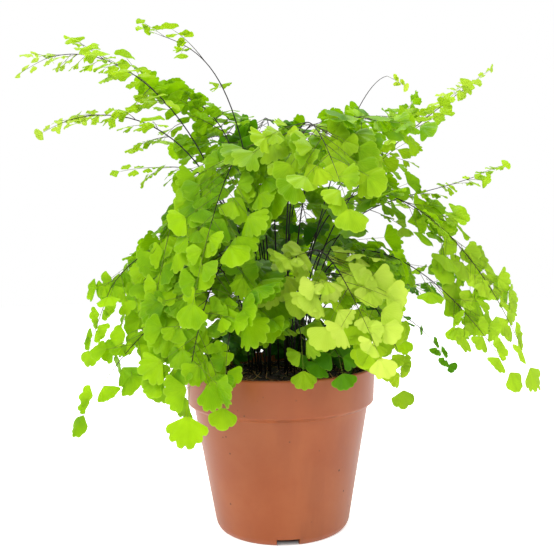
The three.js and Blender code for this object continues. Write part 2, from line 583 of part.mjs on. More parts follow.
// The stem and its branches as one body. A scrap that lost its hold is left out.
function frondSolid(grown) {
  const stalk = rod(grown.line, grown.side, stem.foot, stem.tip);
  const joined = wasm.Manifold.union([stalk, ...grown.branches.map(branchSolid)]);
  return joined.decompose().sort((a, b) => b.volume() - a.volume())[0];
}

// ---- the whole plant ----

const plant = new THREE.Group();
const grown = growAll();
plant.add(mesh('pot', potSolid(), 0xb5673f, 0.45));
plant.add(mesh('soil', soilSolid(grown.map((g) => g.line)), 0x1d1712, 0.95));
for (const g of grown) plant.add(mesh(g.frond.name, frondSolid(g), tones[g.frond.tone], 0.5));

export default plant;
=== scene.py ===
# A maidenhair fern in its plastic nursery pot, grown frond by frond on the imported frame.
# Shapes are worked out in millimetres and scaled to metres where they become meshes.
import math

import bpy
import numpy as np
from mathutils import Matrix, Vector


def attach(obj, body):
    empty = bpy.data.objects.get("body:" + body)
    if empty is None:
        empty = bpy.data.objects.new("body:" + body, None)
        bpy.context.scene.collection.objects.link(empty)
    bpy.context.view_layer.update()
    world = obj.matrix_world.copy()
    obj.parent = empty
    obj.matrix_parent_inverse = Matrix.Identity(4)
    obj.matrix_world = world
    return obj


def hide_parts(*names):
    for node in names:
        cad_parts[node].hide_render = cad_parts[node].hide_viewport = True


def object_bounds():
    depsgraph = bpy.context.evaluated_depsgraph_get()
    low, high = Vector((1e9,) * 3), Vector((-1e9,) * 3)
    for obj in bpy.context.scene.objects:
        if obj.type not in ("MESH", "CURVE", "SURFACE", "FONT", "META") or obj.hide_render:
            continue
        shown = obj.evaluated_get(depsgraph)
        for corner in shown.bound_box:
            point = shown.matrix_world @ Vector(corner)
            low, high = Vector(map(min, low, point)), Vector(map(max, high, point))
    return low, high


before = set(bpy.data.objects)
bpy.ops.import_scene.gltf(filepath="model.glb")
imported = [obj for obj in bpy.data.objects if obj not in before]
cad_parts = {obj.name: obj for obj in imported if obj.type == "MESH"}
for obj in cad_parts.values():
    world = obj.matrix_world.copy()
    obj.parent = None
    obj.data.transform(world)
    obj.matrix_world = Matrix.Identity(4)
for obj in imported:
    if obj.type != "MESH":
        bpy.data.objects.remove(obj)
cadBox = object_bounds()
scene = bpy.context.scene
print("frame loaded,", len(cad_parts), "nodes")


shot = {
    "lens": 45.36, "sensor": 36.0,
    "place": (-0.0011, -0.445, 0.171),
    "pitch": 0.0325,  # radians down
    "roll": -0.0171,
}


def addCamera():
    data = bpy.data.cameras.new("shotCamera")
    data.lens = shot["lens"]
    data.sensor_width = shot["sensor"]
    data.clip_start = 0.01
    made = bpy.data.objects.new("shotCamera", data)
    scene.collection.objects.link(made)
    turn = Matrix.Rotation(math.pi / 2 - shot["pitch"], 4, "X") @ Matrix.Rotation(shot["roll"], 4, "Z")
    made.matrix_world = Matrix.Translation(shot["place"]) @ turn
    scene.camera = made


addCamera()

lights = {  # place, height of the aim on the pot's axis and size in metres, power in watts
    "keyBox": {"place": (-0.75, -1.05, 1.15), "aim": 0.18, "size": 0.8, "power": 21, "tint": (1, 0.985, 0.96)},
    "fillBox": {"place": (0.95, -0.95, 0.7), "aim": 0.15, "size": 1.0, "power": 4, "tint": (0.97, 0.985, 1)},
    "topBox": {"place": (0.1, 0.35, 1.3), "aim": 0.2, "size": 1.0, "power": 17, "tint": (1, 1, 1)},
    "backBox": {"place": (-0.5, 1.1, 0.7), "aim": 0.2, "size": 0.9, "power": 2.5, "tint": (1, 1, 1)},
}
surround = {  # strength as the camera sees it and as it lights the plant, and its colours by height
    "seen": 1.0, "lighting": 0.55,
    "ramp": ((0.4, (1.0, 1.0, 1.0)), (0.8, (0.42, 0.42, 0.42))),
}


def addLights():
    for name, box in lights.items():
        data = bpy.data.lights.new(name, "AREA")
        data.energy = box["power"]
        data.size = box["size"]
        data.color = box["tint"]
        lamp = bpy.data.objects.new(name, data)
        scene.collection.objects.link(lamp)
        lamp.location = box["place"]
        lamp.rotation_euler = (Vector((0, 0, box["aim"])) - lamp.location).to_track_quat("-Z", "Y").to_euler()
    world = bpy.data.worlds.new("studio")
    world.use_nodes = True
    tree = world.node_tree
    sky = tree.nodes.new("ShaderNodeTexCoord")
    height = tree.nodes.new("ShaderNodeSeparateXYZ")
    shade = tree.nodes.new("ShaderNodeValToRGB")
    for element, (position, colour) in zip(shade.color_ramp.elements, surround["ramp"]):
        element.position = position
        element.color = (*colour, 1)
    tree.links.new(sky.outputs["Generated"], height.inputs[0])
    tree.links.new(height.outputs[2], shade.inputs[0])
    tree.links.new(shade.outputs[0], tree.nodes["Background"].inputs["Color"])
    kind = tree.nodes.new("ShaderNodeLightPath")
    strength = tree.nodes.new("ShaderNodeMapRange")
    strength.inputs["To Min"].default_value = surround["lighting"]
    strength.inputs["To Max"].default_value = surround["seen"]
    tree.links.new(kind.outputs["Is Camera Ray"], strength.inputs["Value"])
    tree.links.new(strength.outputs[0], tree.nodes["Background"].inputs["Strength"])
    scene.world = world
    scene.view_settings.view_transform = "Standard"


addLights()
print("camera and light set")


class Val:
    # One shader value. Arithmetic on it adds Math nodes to its tree.
    def __init__(self, tree, socket):
        self.tree = tree
        self.socket = socket

    def math(self, operation, *others, reflected=False):
        node = self.tree.nodes.new("ShaderNodeMath")
        node.operation = operation
        items = (*others, self) if reflected else (self, *others)
        for place, item in zip(node.inputs, items):
            if isinstance(item, Val):
                self.tree.links.new(item.socket, place)
            else:
                place.default_value = item
        return Val(self.tree, node.outputs[0])

    def __add__(self, other):
        return self.math("ADD", other)

    def __sub__(self, other):
        return self.math("SUBTRACT", other)

    def __mul__(self, other):
        return self.math("MULTIPLY", other)

    def __radd__(self, other):
        return self.math("ADD", other, reflected=True)

    def __rsub__(self, other):
        return self.math("SUBTRACT", other, reflected=True)

    def __rmul__(self, other):
        return self.math("MULTIPLY", other, reflected=True)

    def step(self, low, high):  # 0 below low, 1 above high, smooth between
        node = self.tree.nodes.new("ShaderNodeMapRange")
        node.interpolation_type = "SMOOTHSTEP"
        self.tree.links.new(self.socket, node.inputs["Value"])
        node.inputs["From Min"].default_value = low
        node.inputs["From Max"].default_value = high
        return Val(self.tree, node.outputs["Result"])


class Finish:
    # A material and the one way to add nodes to it.
    def __init__(self, name):
        self.material = bpy.data.materials.new(name)
        self.material.use_nodes = True
        self.tree = self.material.node_tree
        self.tree.nodes.clear()
        self.shader = self.tree.nodes.new("ShaderNodeBsdfPrincipled")
        self.output = self.tree.nodes.new("ShaderNodeOutputMaterial")
        self.tree.links.new(self.shader.outputs[0], self.output.inputs["Surface"])

    def node(self, kind, settings=None, inputs=None, out=0):
        made = self.tree.nodes.new(kind)
        for key, value in (settings or {}).items():
            setattr(made, key, value)
        for key, value in (inputs or {}).items():
            if isinstance(value, Val):
                self.tree.links.new(value.socket, made.inputs[key])
            else:
                made.inputs[key].default_value = value
        return Val(self.tree, made.outputs[out])

    def place(self, scale=(1, 1, 1)):  # object coordinates, stretched
        where = self.node("ShaderNodeTexCoord", out="Object")
        return self.node("ShaderNodeMapping", inputs={"Vector": where, "Scale": scale})

    def noise(self, scale, detail=3.0, rough=0.5, vector=None):
        inputs = {"Vector": vector or self.place(), "Scale": scale, "Detail": detail, "Roughness": rough}
        return self.node("ShaderNodeTexNoise", inputs=inputs)

    def cells(self, scale, vector=None):  # distance to the nearest of scattered points
        inputs = {"Vector": vector or self.place(), "Scale": scale}
        return self.node("ShaderNodeTexVoronoi", inputs=inputs, out="Distance")

    def blend(self, share, first, second):
        def coloured(value):
            return value if isinstance(value, Val) else (*value, 1)
        inputs = {0: share, 6: coloured(first), 7: coloured(second)}
        return self.node("ShaderNodeMix", {"data_type": "RGBA"}, inputs, 2)

    def attribute(self, name):
        return self.node("ShaderNodeAttribute", {"attribute_name": name}, out="Fac")

    def feed(self, **links):
        for key, value in links.items():
            place = self.shader.inputs[key.replace("_", " ")]
            if isinstance(value, Val):
                self.tree.links.new(value.socket, place)
            else:
                place.default_value = value

    def bump(self, height, strength, distance):
        inputs = {"Height": height, "Strength": strength, "Distance": distance}
        self.feed(Normal=self.node("ShaderNodeBump", inputs=inputs))


def linear(red, green, blue):  # screen colour, 0 to 255, as the linear colour that shaders take
    def one(value):
        value /= 255
        return value / 12.92 if value <= 0.04045 else ((value + 0.055) / 1.055) ** 2.4
    return (one(red), one(green), one(blue))


def addMesh(name, points, faceSets, materials, uv=None, marks=None):
    # Puts arrays into a mesh object: points in mm, faceSets as [(array of vertex ids with one row
    # per face, material index)], uv and marks as one value for each point.
    data = bpy.data.meshes.new(name)
    points = np.asarray(points, float) * 0.001
    faceSets = [(np.asarray(faces, np.int32), index) for faces, index in faceSets if len(faces)]
    loops = np.concatenate([faces.ravel() for faces, _ in faceSets])
    sizes = np.concatenate([np.full(len(faces), faces.shape[1], np.int32) for faces, _ in faceSets])
    slots = np.concatenate([np.full(len(faces), index, np.int32) for faces, index in faceSets])
    data.vertices.add(len(points))
    data.vertices.foreach_set("co", points.astype(np.float32).ravel())
    data.loops.add(len(loops))
    data.loops.foreach_set("vertex_index", loops)
    data.polygons.add(len(sizes))
    starts = np.concatenate([[0], np.cumsum(sizes)[:-1]]).astype(np.int32)
    data.polygons.foreach_set("loop_start", starts)
    data.polygons.foreach_set("material_index", slots)
    data.polygons.foreach_set("use_smooth", np.ones(len(sizes), bool))
    for material in materials:
        data.materials.append(material)
    data.update(calc_edges=True)
    if uv is not None:
        layer = data.uv_layers.new(name="growth")
        layer.data.foreach_set("uv", np.asarray(uv, np.float32)[loops].ravel())
    for key, values in (marks or {}).items():
        layer = data.attributes.new(key, "FLOAT", "POINT")
        layer.data.foreach_set("value", np.asarray(values, np.float32))
    data.validate()
    made = bpy.data.objects.new(name, data)
    scene.collection.objects.link(made)
    return made


def bevelEdges(piece, width, angle):
    bevel = piece.modifiers.new("softEdges", "BEVEL")
    bevel.width = width * 0.001
    bevel.segments = 2
    bevel.limit_method = "ANGLE"
    bevel.angle_limit = math.radians(angle)
    bevel.harden_normals = True


def settle(piece, node, slot):  # the piece stands for its node and rides with the plant
    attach(piece, "root")
    if node:
        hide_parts(node)


def mix(low, high, share):
    return low + (high - low) * share


def chance(a, b, c):
    # A number from 0 to 1 out of three whole-number keys: the fraction of a large multiple of
    # the sine of their weighted sum.
    x = np.sin(a * 12.9898 + b * 78.233 + c * 37.719 + 4.137) * 43758.5453
    return x - np.floor(x)


def tubes(paths, radii, sides):
    # Round tubes along P paths of K points. Each ring is a circle square to the path, at radius
    # radii[p, k]; both ends close on one point.
    count, steps, _ = paths.shape
    ahead = np.gradient(paths, axis=1)
    ahead /= np.linalg.norm(ahead, axis=2, keepdims=True) + 1e-12
    lean = np.abs(ahead.mean(1, keepdims=True))
    aid = np.eye(3)[lean.argmin(2)]
    aside = np.cross(ahead, np.broadcast_to(aid, ahead.shape))
    aside /= np.linalg.norm(aside, axis=2, keepdims=True)
    other = np.cross(ahead, aside)
    turn = np.linspace(0, 2 * np.pi, sides, endpoint=False)
    ring = (aside[:, :, None] * np.cos(turn)[:, None] + other[:, :, None] * np.sin(turn)[:, None])
    body = paths[:, :, None] + ring * radii[:, :, None, None]
    points = np.concatenate([body.reshape(count, -1, 3), paths[:, :1], paths[:, -1:]], 1)
    k, j = np.meshgrid(np.arange(steps - 1), np.arange(sides), indexing="ij")
    after = (j + 1) % sides
    quads = np.stack([k * sides + j, k * sides + after, (k + 1) * sides + after, (k + 1) * sides + j], -1)
    rim = np.arange(sides)
    onward = (rim + 1) % sides
    start, end = steps * sides, steps * sides + 1
    last = (steps - 1) * sides
    caps = np.concatenate([
        np.stack([np.full(sides, start), onward, rim], -1),
        np.stack([np.full(sides, end), last + rim, last + onward], -1)])
    shift = (np.arange(count) * (steps * sides + 2))[:, None, None]
    quads = (quads.reshape(1, -1, 4) + shift).reshape(-1, 4)
    caps = (caps[None] + shift).reshape(-1, 3)
    return points.reshape(-1, 3), quads, caps


potShape = {  # millimetres, with slotTurn in degrees
    "rimRadius": 60.0, "height": 100.6, "rimHeight": 22.0, "rimTaper": 1.1, "rimStep": 3.7,
    "rimChamfer": 2.4, "baseRadius": 42.5, "cornerRadius": 3.2, "wall": 1.8, "lip": 0.8,
    "floorLift": 2.4, "floorThickness": 1.6, "footWidth": 3.0,
    "slotCount": 4, "slotWidth": 14.0, "slotHeight": 4.1, "slotInner": 35.0, "slotTurn": 274.0,
    # what is cut off at the corners in turn
    "underCuts": (0, 0.5, 0.5, 1.5, 1.2), "outsideCuts": (0.35, 0.9, 0.5, 0.5, 0.5, 2),
    "columns": 176, "slotGap": 0.008,  # no even column stands nearer to a slot's edge, in radians
    "bevel": 0.22, "bevelAngle": 50,
}
potFinish = {
    "clay": linear(140, 68, 26), "worn": linear(158, 90, 50), "shade": linear(116, 54, 22),
    # the dirt colour is used for real dirt and also for a painted shadow line under the rim
    "dirt": linear(70, 45, 30), "roughness": 0.42, "specular": 0.36, "grain": 0.1, "grainDepth": 0.0006,
    # scales of its patterns, and heights in metres
    "clouds": 28.0, "fine": 420.0, "streaks": 60.0, "grit": 230.0, "specks": 46.0, "rimShadowNoise": 150.0,
    # rimShadowLine is the height of a painted shadow line on the step under the rim
    "dirtyFoot": 0.02, "rimShadowLine": 0.0775, "mouth": (0.094, 0.1006),
}


def rounded(corners, cuts, steps=4):
    # A line through corners, each turned into a short curve: from a cut before the corner to a
    # cut after it, along the parabola that the corner pulls.
    line = [corners[0]]
    for before, corner, after, cut in zip(corners, corners[1:], corners[2:], cuts):
        if not cut:
            line.append(corner)
            continue
        start = corner + (before - corner) * min(cut / np.linalg.norm(before - corner), 0.5)
        end = corner + (after - corner) * min(cut / np.linalg.norm(after - corner), 0.5)
        t = np.linspace(0, 1, steps + 1)[:, None]
        line.extend((1 - t) ** 2 * start + 2 * t * (1 - t) * corner + t ** 2 * end)
    line.append(corners[-1])
    return np.array(line)


def potLines():
    # The pot's closed profile as [radius, height], from the middle underneath, round the wall and
    # the rim to the middle of its floor, and the points where the drainage slots cut it.
    p = potShape
    rimFoot = p["height"] - p["rimHeight"]
    rimBottom = p["rimRadius"] - p["rimTaper"]
    bodyTop = rimBottom - p["rimStep"]
    floorTop = p["floorLift"] + p["floorThickness"]
    toe = p["baseRadius"] - p["cornerRadius"] / 2
    stepHeight = rimFoot - p["rimChamfer"]
    onWall = (p["slotHeight"] - p["cornerRadius"]) / (stepHeight - p["cornerRadius"])
    inside = p["baseRadius"] - p["wall"]
    onInside = (p["slotHeight"] - floorTop) / (stepHeight - floorTop)
    under = rounded(np.array([
        [0, p["floorLift"]], [p["slotInner"], p["floorLift"]], [toe - p["footWidth"], p["floorLift"]],
        [toe - p["footWidth"], 0], [toe, 0], [p["baseRadius"], p["cornerRadius"]],
        [mix(p["baseRadius"], bodyTop, onWall), p["slotHeight"]],
    ]), p["underCuts"])
    outside = rounded(np.array([
        [mix(p["baseRadius"], bodyTop, onWall), p["slotHeight"]], [bodyTop, stepHeight],
        [rimBottom, rimFoot], [p["rimRadius"], p["height"] - p["lip"]],
        [p["rimRadius"] - p["lip"] / 2, p["height"]], [p["rimRadius"] - p["wall"], p["height"]],
        [bodyTop - p["wall"], stepHeight], [mix(inside, bodyTop - p["wall"], onInside), p["slotHeight"]],
    ]), p["outsideCuts"])
    floor = np.array([[inside, floorTop], [p["slotInner"], floorTop], [0, floorTop]])
    line = np.concatenate([under, outside[1:], floor])
    marks = {"a": 1, "d": len(under) - 1, "e": len(under) + len(outside) - 2, "b": len(line) - 2}
    return line, marks


def makePot():
    # The pot's closed profile turned round the axis. In the columns of a drainage slot the
    # stretch below the slot's top is left out, and its cut edges and sides are closed.
    p = potShape
    line, at = potLines()
    middles = np.radians(p["slotTurn"] + np.arange(p["slotCount"]) * 360 / p["slotCount"])
    half = math.asin(p["slotWidth"] / 2 / p["baseRadius"])
    edges = np.mod(np.concatenate([middles - half, middles + half]), 2 * np.pi)
    even = np.linspace(0, 2 * np.pi, p["columns"], endpoint=False)
    gap = np.abs(np.mod(even[:, None] - edges + np.pi, 2 * np.pi) - np.pi).min(1)
    turn = np.sort(np.concatenate([even[gap > p["slotGap"]], edges]))
    columns = len(turn)
    between = turn + np.mod(np.roll(turn, -1) - turn, 2 * np.pi) / 2
    inSlot = (np.abs(np.mod(between[:, None] - middles + np.pi, 2 * np.pi) - np.pi) < half).any(1)
    steps = len(line)
    r, z = line[1:-1, 0, None], line[1:-1, 1, None]
    ring = np.stack([r * np.cos(turn), r * np.sin(turn), z + 0 * turn], -1).reshape(-1, 3)
    points = np.concatenate([ring, [[0, 0, line[0, 1]]], [[0, 0, line[-1, 1]]]])
    ids = np.arange((steps - 2) * columns).reshape(steps - 2, columns)
    ids = np.concatenate([np.full((1, columns), len(ring)), ids, np.full((1, columns), len(ring) + 1)])
    after = np.roll(ids, -1, 1)

    def band(low, high, chosen):
        return np.stack([ids[low], after[low], after[high], ids[high]], -1)[chosen]

    quads = []
    for low in range(1, steps - 2):
        cut = at["a"] <= low < at["d"] or at["e"] <= low < at["b"]
        quads.append(band(low, low + 1, ~inSlot if cut else np.ones(columns, bool)))
    quads += [band(at["e"], at["d"], inSlot), band(at["a"], at["b"], inSlot)]
    first = np.stack([ids[0], after[1], ids[1]], -1)
    last = np.stack([ids[-2], after[-2], ids[-1]], -1)
    section = np.concatenate([np.arange(at["a"], at["d"] + 1), np.arange(at["e"], at["b"] + 1)])
    opens = inSlot & ~np.roll(inSlot, 1)
    closes = ~inSlot & np.roll(inSlot, 1)
    sides = np.concatenate([ids[section[::-1]][:, opens].T, ids[section][:, closes].T])
    pot = addMesh("finePot", points, [(np.concatenate(quads), 0), (first, 0), (last, 0), (sides, 0)],
                  [potMaterial()])
    bevelEdges(pot, p["bevel"], p["bevelAngle"])
    settle(pot, "pot", "pot_plastic")


def potMaterial():
    f = Finish("potPlastic")
    v = potFinish
    cloudy = f.noise(v["clouds"], 4.0, 0.55)
    fine = f.noise(v["fine"], 2.0, 0.5)
    streaks = f.noise(v["streaks"], 3.0, 0.5, f.place((1, 1, 0.12)))
    speck = f.noise(v["specks"], 2.0, 0.6).step(0.6, 0.68) * (1 - f.cells(v["grit"]).step(0.1, 0.2))
    height = f.node("ShaderNodeSeparateXYZ", inputs={0: f.place()}, out=2)
    low = 1 - height.step(0.0, v["dirtyFoot"])
    # painted shadow line on the step under the rim's overhang, broken up by noise
    rimShadowLine = 1 - (height - v["rimShadowLine"]).math("ABSOLUTE").step(0.0004, 0.0016)
    mouth = height.step(*v["mouth"])
    colour = f.blend(cloudy.step(0.35, 0.7) * 0.45, v["clay"], v["worn"])
    colour = f.blend(streaks.step(0.5, 0.75) * 0.3, colour, v["shade"])
    colour = f.blend(mouth * cloudy.step(0.45, 0.6) * 0.35, colour, v["worn"])
    # dirt specks and streaky dirt at the foot, plus the painted shadow line under the rim
    dirtAndRimShadow = (speck + rimShadowLine * f.noise(v["rimShadowNoise"]).step(0.35, 0.7) * 0.3
             + low * streaks.step(0.45, 0.8) * 0.35).math("MINIMUM", 0.85)
    colour = f.blend(dirtAndRimShadow, colour, v["dirt"])
    f.feed(Base_Color=colour, Roughness=v["roughness"] + cloudy * 0.12 + dirtAndRimShadow * 0.3 - 0.06)
    f.feed(Specular_IOR_Level=v["specular"], Coat_Weight=0.0)
    f.bump(fine * 0.5 + cloudy * 2.0 + speck * 1.5 + streaks, v["grain"], v["grainDepth"])
    return f.material


makePot()
print("pot made")


soilShape = {  # millimetres
    "top": 94.0, "crown": 2.0, "bottom": 4.35, "floorRadius": 40.35, "stepRadius": 52.7, "stepHeight": 76.2,
    "edge": 56.2, "flat": 36.0, "rings": 56, "columns": 190,
    "crownFall": 14, "nearWall": 3, "wallDrop": 1.0, "roughAtWall": 0.35, "deepest": -1.6, "highest": 1.0,
    "lumps": 620, "lumpSize": (1.2, 4.2), "lumpHeight": 0.42,
}
crumbShape = {
    "many": 900, "size": (0.35, 1.5), "above": 0.2,
    "wobble": (0.62, 1.15), "wide": (0.7, 1.3), "tall": (0.5, 1.0),
}
fibreShape = {
    "many": 230, "length": (4.0, 20.0), "thickness": (0.1, 0.26), "steps": 9, "sides": 4, "bend": 3.0,
    "lying": 0.55, "lift": (0.5, 5.0),  # share that lie flat, and how far the others' ends rise
}
soilFinish = {"wet": linear(16, 12, 9), "peat": linear(44, 32, 23), "dry": linear(84, 62, 44)}
fibreFinish = {"straw": linear(178, 142, 96), "rust": linear(112, 72, 42), "grey": linear(148, 132, 112)}


def lumpField():
    # Places of the lumps, even over the disc, with their radii and how far they rise or sink.
    n = np.arange(soilShape["lumps"])
    reach = soilShape["edge"] * np.sqrt(chance(n, 1, 61))
    angle = 2 * np.pi * chance(n, 2, 61)
    radius = mix(*soilShape["lumpSize"], chance(n, 3, 61) ** 2)
    return reach * np.cos(angle), reach * np.sin(angle), radius, radius * (chance(n, 4, 61) - 0.35)


def soilHeight(x, y):
    # Height of the soil: a low crown that falls towards the wall, with round lumps and hollows
    # of (1 - d^2 / radius^2)^2 added over one another.
    s = soilShape
    reach = np.hypot(x, y)
    base = s["top"] + s["crown"] - s["crown"] * np.clip((reach - s["flat"]) / s["crownFall"], 0, 1) ** 2
    lx, ly, radius, rise = lumpField()
    total = np.zeros_like(base)
    for part in np.array_split(np.arange(len(lx)), 8):
        d2 = (x[..., None] - lx[part]) ** 2 + (y[..., None] - ly[part]) ** 2
        total += (np.clip(1 - d2 / radius[part] ** 2, 0, 1) ** 2 * rise[part] * s["lumpHeight"]).sum(-1)
    fade = np.clip((s["edge"] - reach) / s["nearWall"], 0, 1)
    rough = np.clip(total, s["deepest"], s["highest"]) * mix(s["roughAtWall"], 1, fade)
    return base - s["wallDrop"] * (1 - fade) + rough


def makeSoil():
    # A disc of rings and columns lifted by soilHeight, carried down the pot's wall to the floor.
    s = soilShape
    share = np.linspace(0, 1, s["rings"] + 1)[1:]
    turn = np.linspace(0, 2 * np.pi, s["columns"], endpoint=False)
    r = (s["edge"] * share)[:, None]
    x, y = r * np.cos(turn), r * np.sin(turn)
    top = np.stack([x, y, soilHeight(x, y)], -1)
    down = np.array([[s["stepRadius"], s["stepHeight"]], [s["floorRadius"], s["bottom"] + 1],
                     [s["floorRadius"] - 1, s["bottom"]]])
    wall = np.stack([down[:, :1] * np.cos(turn), down[:, :1] * np.sin(turn), down[:, 1:] + 0 * turn], -1)
    ring = np.concatenate([top, wall])
    steps, columns = ring.shape[:2]
    middle = soilHeight(np.zeros(1), np.zeros(1))[0]
    points = np.concatenate([ring.reshape(-1, 3), [[0, 0, middle], [0, 0, s["bottom"]]]])
    ids = np.arange(steps * columns).reshape(steps, columns)
    after = np.roll(ids, -1, 1)
    quads = np.stack([ids[:-1], ids[1:], after[1:], after[:-1]], -1).reshape(-1, 4)
    pole = np.stack([np.full(columns, steps * columns), ids[0], after[0]], -1)
    base = np.stack([np.full(columns, steps * columns + 1), after[-1], ids[-1]], -1)
    soil = addMesh("peatBed", points, [(quads, 0), (pole, 0), (base, 0)], [soilMaterial()])
    settle(soil, "soil", "potting_soil")


def makeCrumbs():
    # Peat crumbs: one 20-sided lump at every place, each corner pushed in or out, with its middle
    # a little above the soil.
    s = crumbShape
    n = np.arange(s["many"])
    size = mix(*s["size"], chance(n, 3, 62) ** 3)
    reach = (soilShape["edge"] - 1.0 - size) * np.sqrt(chance(n, 1, 62))
    angle = 2 * np.pi * chance(n, 2, 62)
    x, y = reach * np.cos(angle), reach * np.sin(angle)
    gold = (1 + 5 ** 0.5) / 2
    flat = np.array([[i, gold * j, 0] for i in (1, -1) for j in (1, -1)])
    corners = np.concatenate([flat, np.roll(flat, 1, 1), np.roll(flat, 2, 1)]) / np.hypot(1, gold)
    gaps = np.linalg.norm(corners[:, None] - corners, axis=2)
    near = (gaps > 0.01) & (gaps < 1.1)
    faces = np.array([(a, b, c) for a in range(12) for b in range(a + 1, 12) for c in range(b + 1, 12)
                      if near[a, b] and near[b, c] and near[a, c]])
    a, b, c = (corners[faces[:, i]] for i in range(3))
    inward = (np.cross(b - a, c - a) * a).sum(1) < 0
    faces[inward] = faces[inward][:, ::-1]
    wobble = mix(*s["wobble"], chance(n[:, None], np.arange(12), 63))
    squash = np.stack([mix(*s["wide"], chance(n, 4, 62)), mix(*s["wide"], chance(n, 5, 62)),
                       mix(*s["tall"], chance(n, 6, 62))], -1)
    spin = 2 * np.pi * chance(n, 7, 62)[:, None]
    shape = corners[None] * wobble[..., None] * squash[:, None] * size[:, None, None]
    turned = np.stack([shape[..., 0] * np.cos(spin) - shape[..., 1] * np.sin(spin),
                       shape[..., 0] * np.sin(spin) + shape[..., 1] * np.cos(spin), shape[..., 2]], -1)
    middle = np.stack([x, y, soilHeight(x, y) + size * s["above"]], -1)
    points = (turned + middle[:, None]).reshape(-1, 3)
    ids = (faces[None] + 12 * n[:, None, None]).reshape(-1, 3)
    tone = np.repeat(chance(n, 8, 62), 12)
    crumbs = addMesh("peatCrumbs", points, [(ids, 0)], [soilMaterial("peatCrumb", 0.5)], marks={"tone": tone})
    crumbs.data.polygons.foreach_set("use_smooth", np.zeros(len(ids), bool))
    settle(crumbs, None, "potting_soil")


def makeFibres():
    # Root fibres and straw: short arcs that lie on the soil, some with one end lifted, most of
    # them near the wall.
    s, edge = fibreShape, soilShape["edge"]
    n = np.arange(s["many"])
    t = np.linspace(-0.5, 0.5, s["steps"])
    long = mix(*s["length"], chance(n, 1, 64) ** 2)
    reach = (edge - 3) * chance(n, 2, 64) ** 0.4
    angle = 2 * np.pi * chance(n, 3, 64)
    heading = 2 * np.pi * chance(n, 4, 64)
    bend = s["bend"] * (chance(n, 5, 64) - 0.5)
    way = heading[:, None] + bend[:, None] * t
    run = np.cumsum(np.stack([np.cos(way), np.sin(way)], -1), 1) / len(t) * long[:, None, None]
    run -= run.mean(1, keepdims=True)
    spot = np.stack([reach * np.cos(angle), reach * np.sin(angle)], -1)
    flat = run + spot[:, None]
    far = np.linalg.norm(flat, axis=2).max(1)
    flat *= np.minimum(1, (edge - 0.6) / far)[:, None, None]
    thick = mix(*s["thickness"], chance(n, 6, 64))
    lift = np.where(chance(n, 7, 64) > s["lying"], 1, 0) * mix(*s["lift"], chance(n, 8, 64))
    height = soilHeight(flat[..., 0], flat[..., 1]) + thick[:, None] * 0.8
    height = np.maximum(height, height.mean(1, keepdims=True) - 0.4) + lift[:, None] * (t + 0.5) ** 2
    paths = np.concatenate([flat, height[..., None]], -1)
    radii = thick[:, None] * (1 - 0.7 * np.abs(2 * t) ** 3)
    points, quads, caps = tubes(paths, radii, s["sides"])
    tone = np.repeat(chance(n, 9, 64), len(points) // len(n))
    fibres = addMesh("rootFibres", points, [(quads, 0), (caps, 0)], [fibreMaterial()], marks={"tone": tone})
    settle(fibres, None, "potting_soil")


def soilMaterial(name="peat", lighter=0.0):
    f = Finish(name)
    v = soilFinish
    coarse = f.noise(170.0, 4.0, 0.65)
    fine = f.noise(900.0, 3.0, 0.6)
    flecks = 1 - f.cells(520.0, f.place((1, 1, 0.7))).step(0.1, 0.2)
    colour = f.blend(coarse.step(0.35, 0.72), v["wet"], v["peat"])
    dry = flecks * fine.step(0.5, 0.62) * 0.6
    if lighter:
        dry = f.attribute("tone").step(0.4, 1.0) * lighter + dry * 0.5
    colour = f.blend(dry, colour, v["dry"])
    f.feed(Base_Color=colour, Roughness=0.75 + coarse * 0.25, Specular_IOR_Level=0.25)
    f.bump(coarse * 2.0 + fine, 0.8, 0.0008)
    return f.material


def fibreMaterial():
    f = Finish("rootFibre")
    v = fibreFinish
    tone = f.attribute("tone")
    colour = f.blend(tone.step(0.3, 0.6), v["rust"], v["straw"])
    colour = f.blend(tone.step(0.8, 0.95), colour, v["grey"])
    mottled = f.noise(700.0, 2.0, 0.6)
    colour = f.blend(mottled.step(0.5, 0.75) * 0.5, colour, v["rust"])
    f.feed(Base_Color=colour, Roughness=0.7 + mottled * 0.2, Specular_IOR_Level=0.3)
    f.bump(mottled, 0.4, 0.0002)
    return f.material


makeSoil()
makeCrumbs()
makeFibres()
print("soil, crumbs and fibres made")


stemShape = {  # millimetres
    "soilTop": 96.0, "sunk": 8.6, "bareSteps": 2, "greenSteps": 3, "sideFoot": 0.525,
    "foot": 0.5, "tip": 0.22, "smallest": 0.7, "fullLeaf": 14, "taper": 1.3, "greenAtTip": 0.55,
    "steps": 30, "sides": 8,
}
blade = {  # degrees, shares of a leaflet's length, and how fast a branch arches and sags
    "halfAngle": 64, "sideHalfAngle": 52, "sideTurn": 67, "ribHalfWidth": 0.3, "arch": 0.004, "droop": 0.0045,
    "stalk": 0.16, "firstFoot": 0.55, "firstBack": 0.8, "nextBack": 0.68,
}
growth = {  # where main branches stand, and how they lean and face; pairs are the two ends of a range
    "nodePitch": 2, "nodesAtMost": 6, "firstNode": 0.02, "lastNode": 0.94, "keptAtSides": 3, "keptAtEnd": 4,
    "turn": (64, 52), "singleTurn": 72, "turnSpread": 12, "singleBelow": 1.2, "shorten": 0.7,
    "lengths": (0.85, 1.15), "sizes": (0.88, 1.14), "sideSizes": (0.8, 0.96), "fall": (0.15, 0.5),
    "faceUp": (1, 0.4), "faceOut": (0.1, 0.5), "faceBroad": (0.5, 0.85), "faceSpread": 0.5,
    "rises": 0.6, "hangs": -0.6,
}
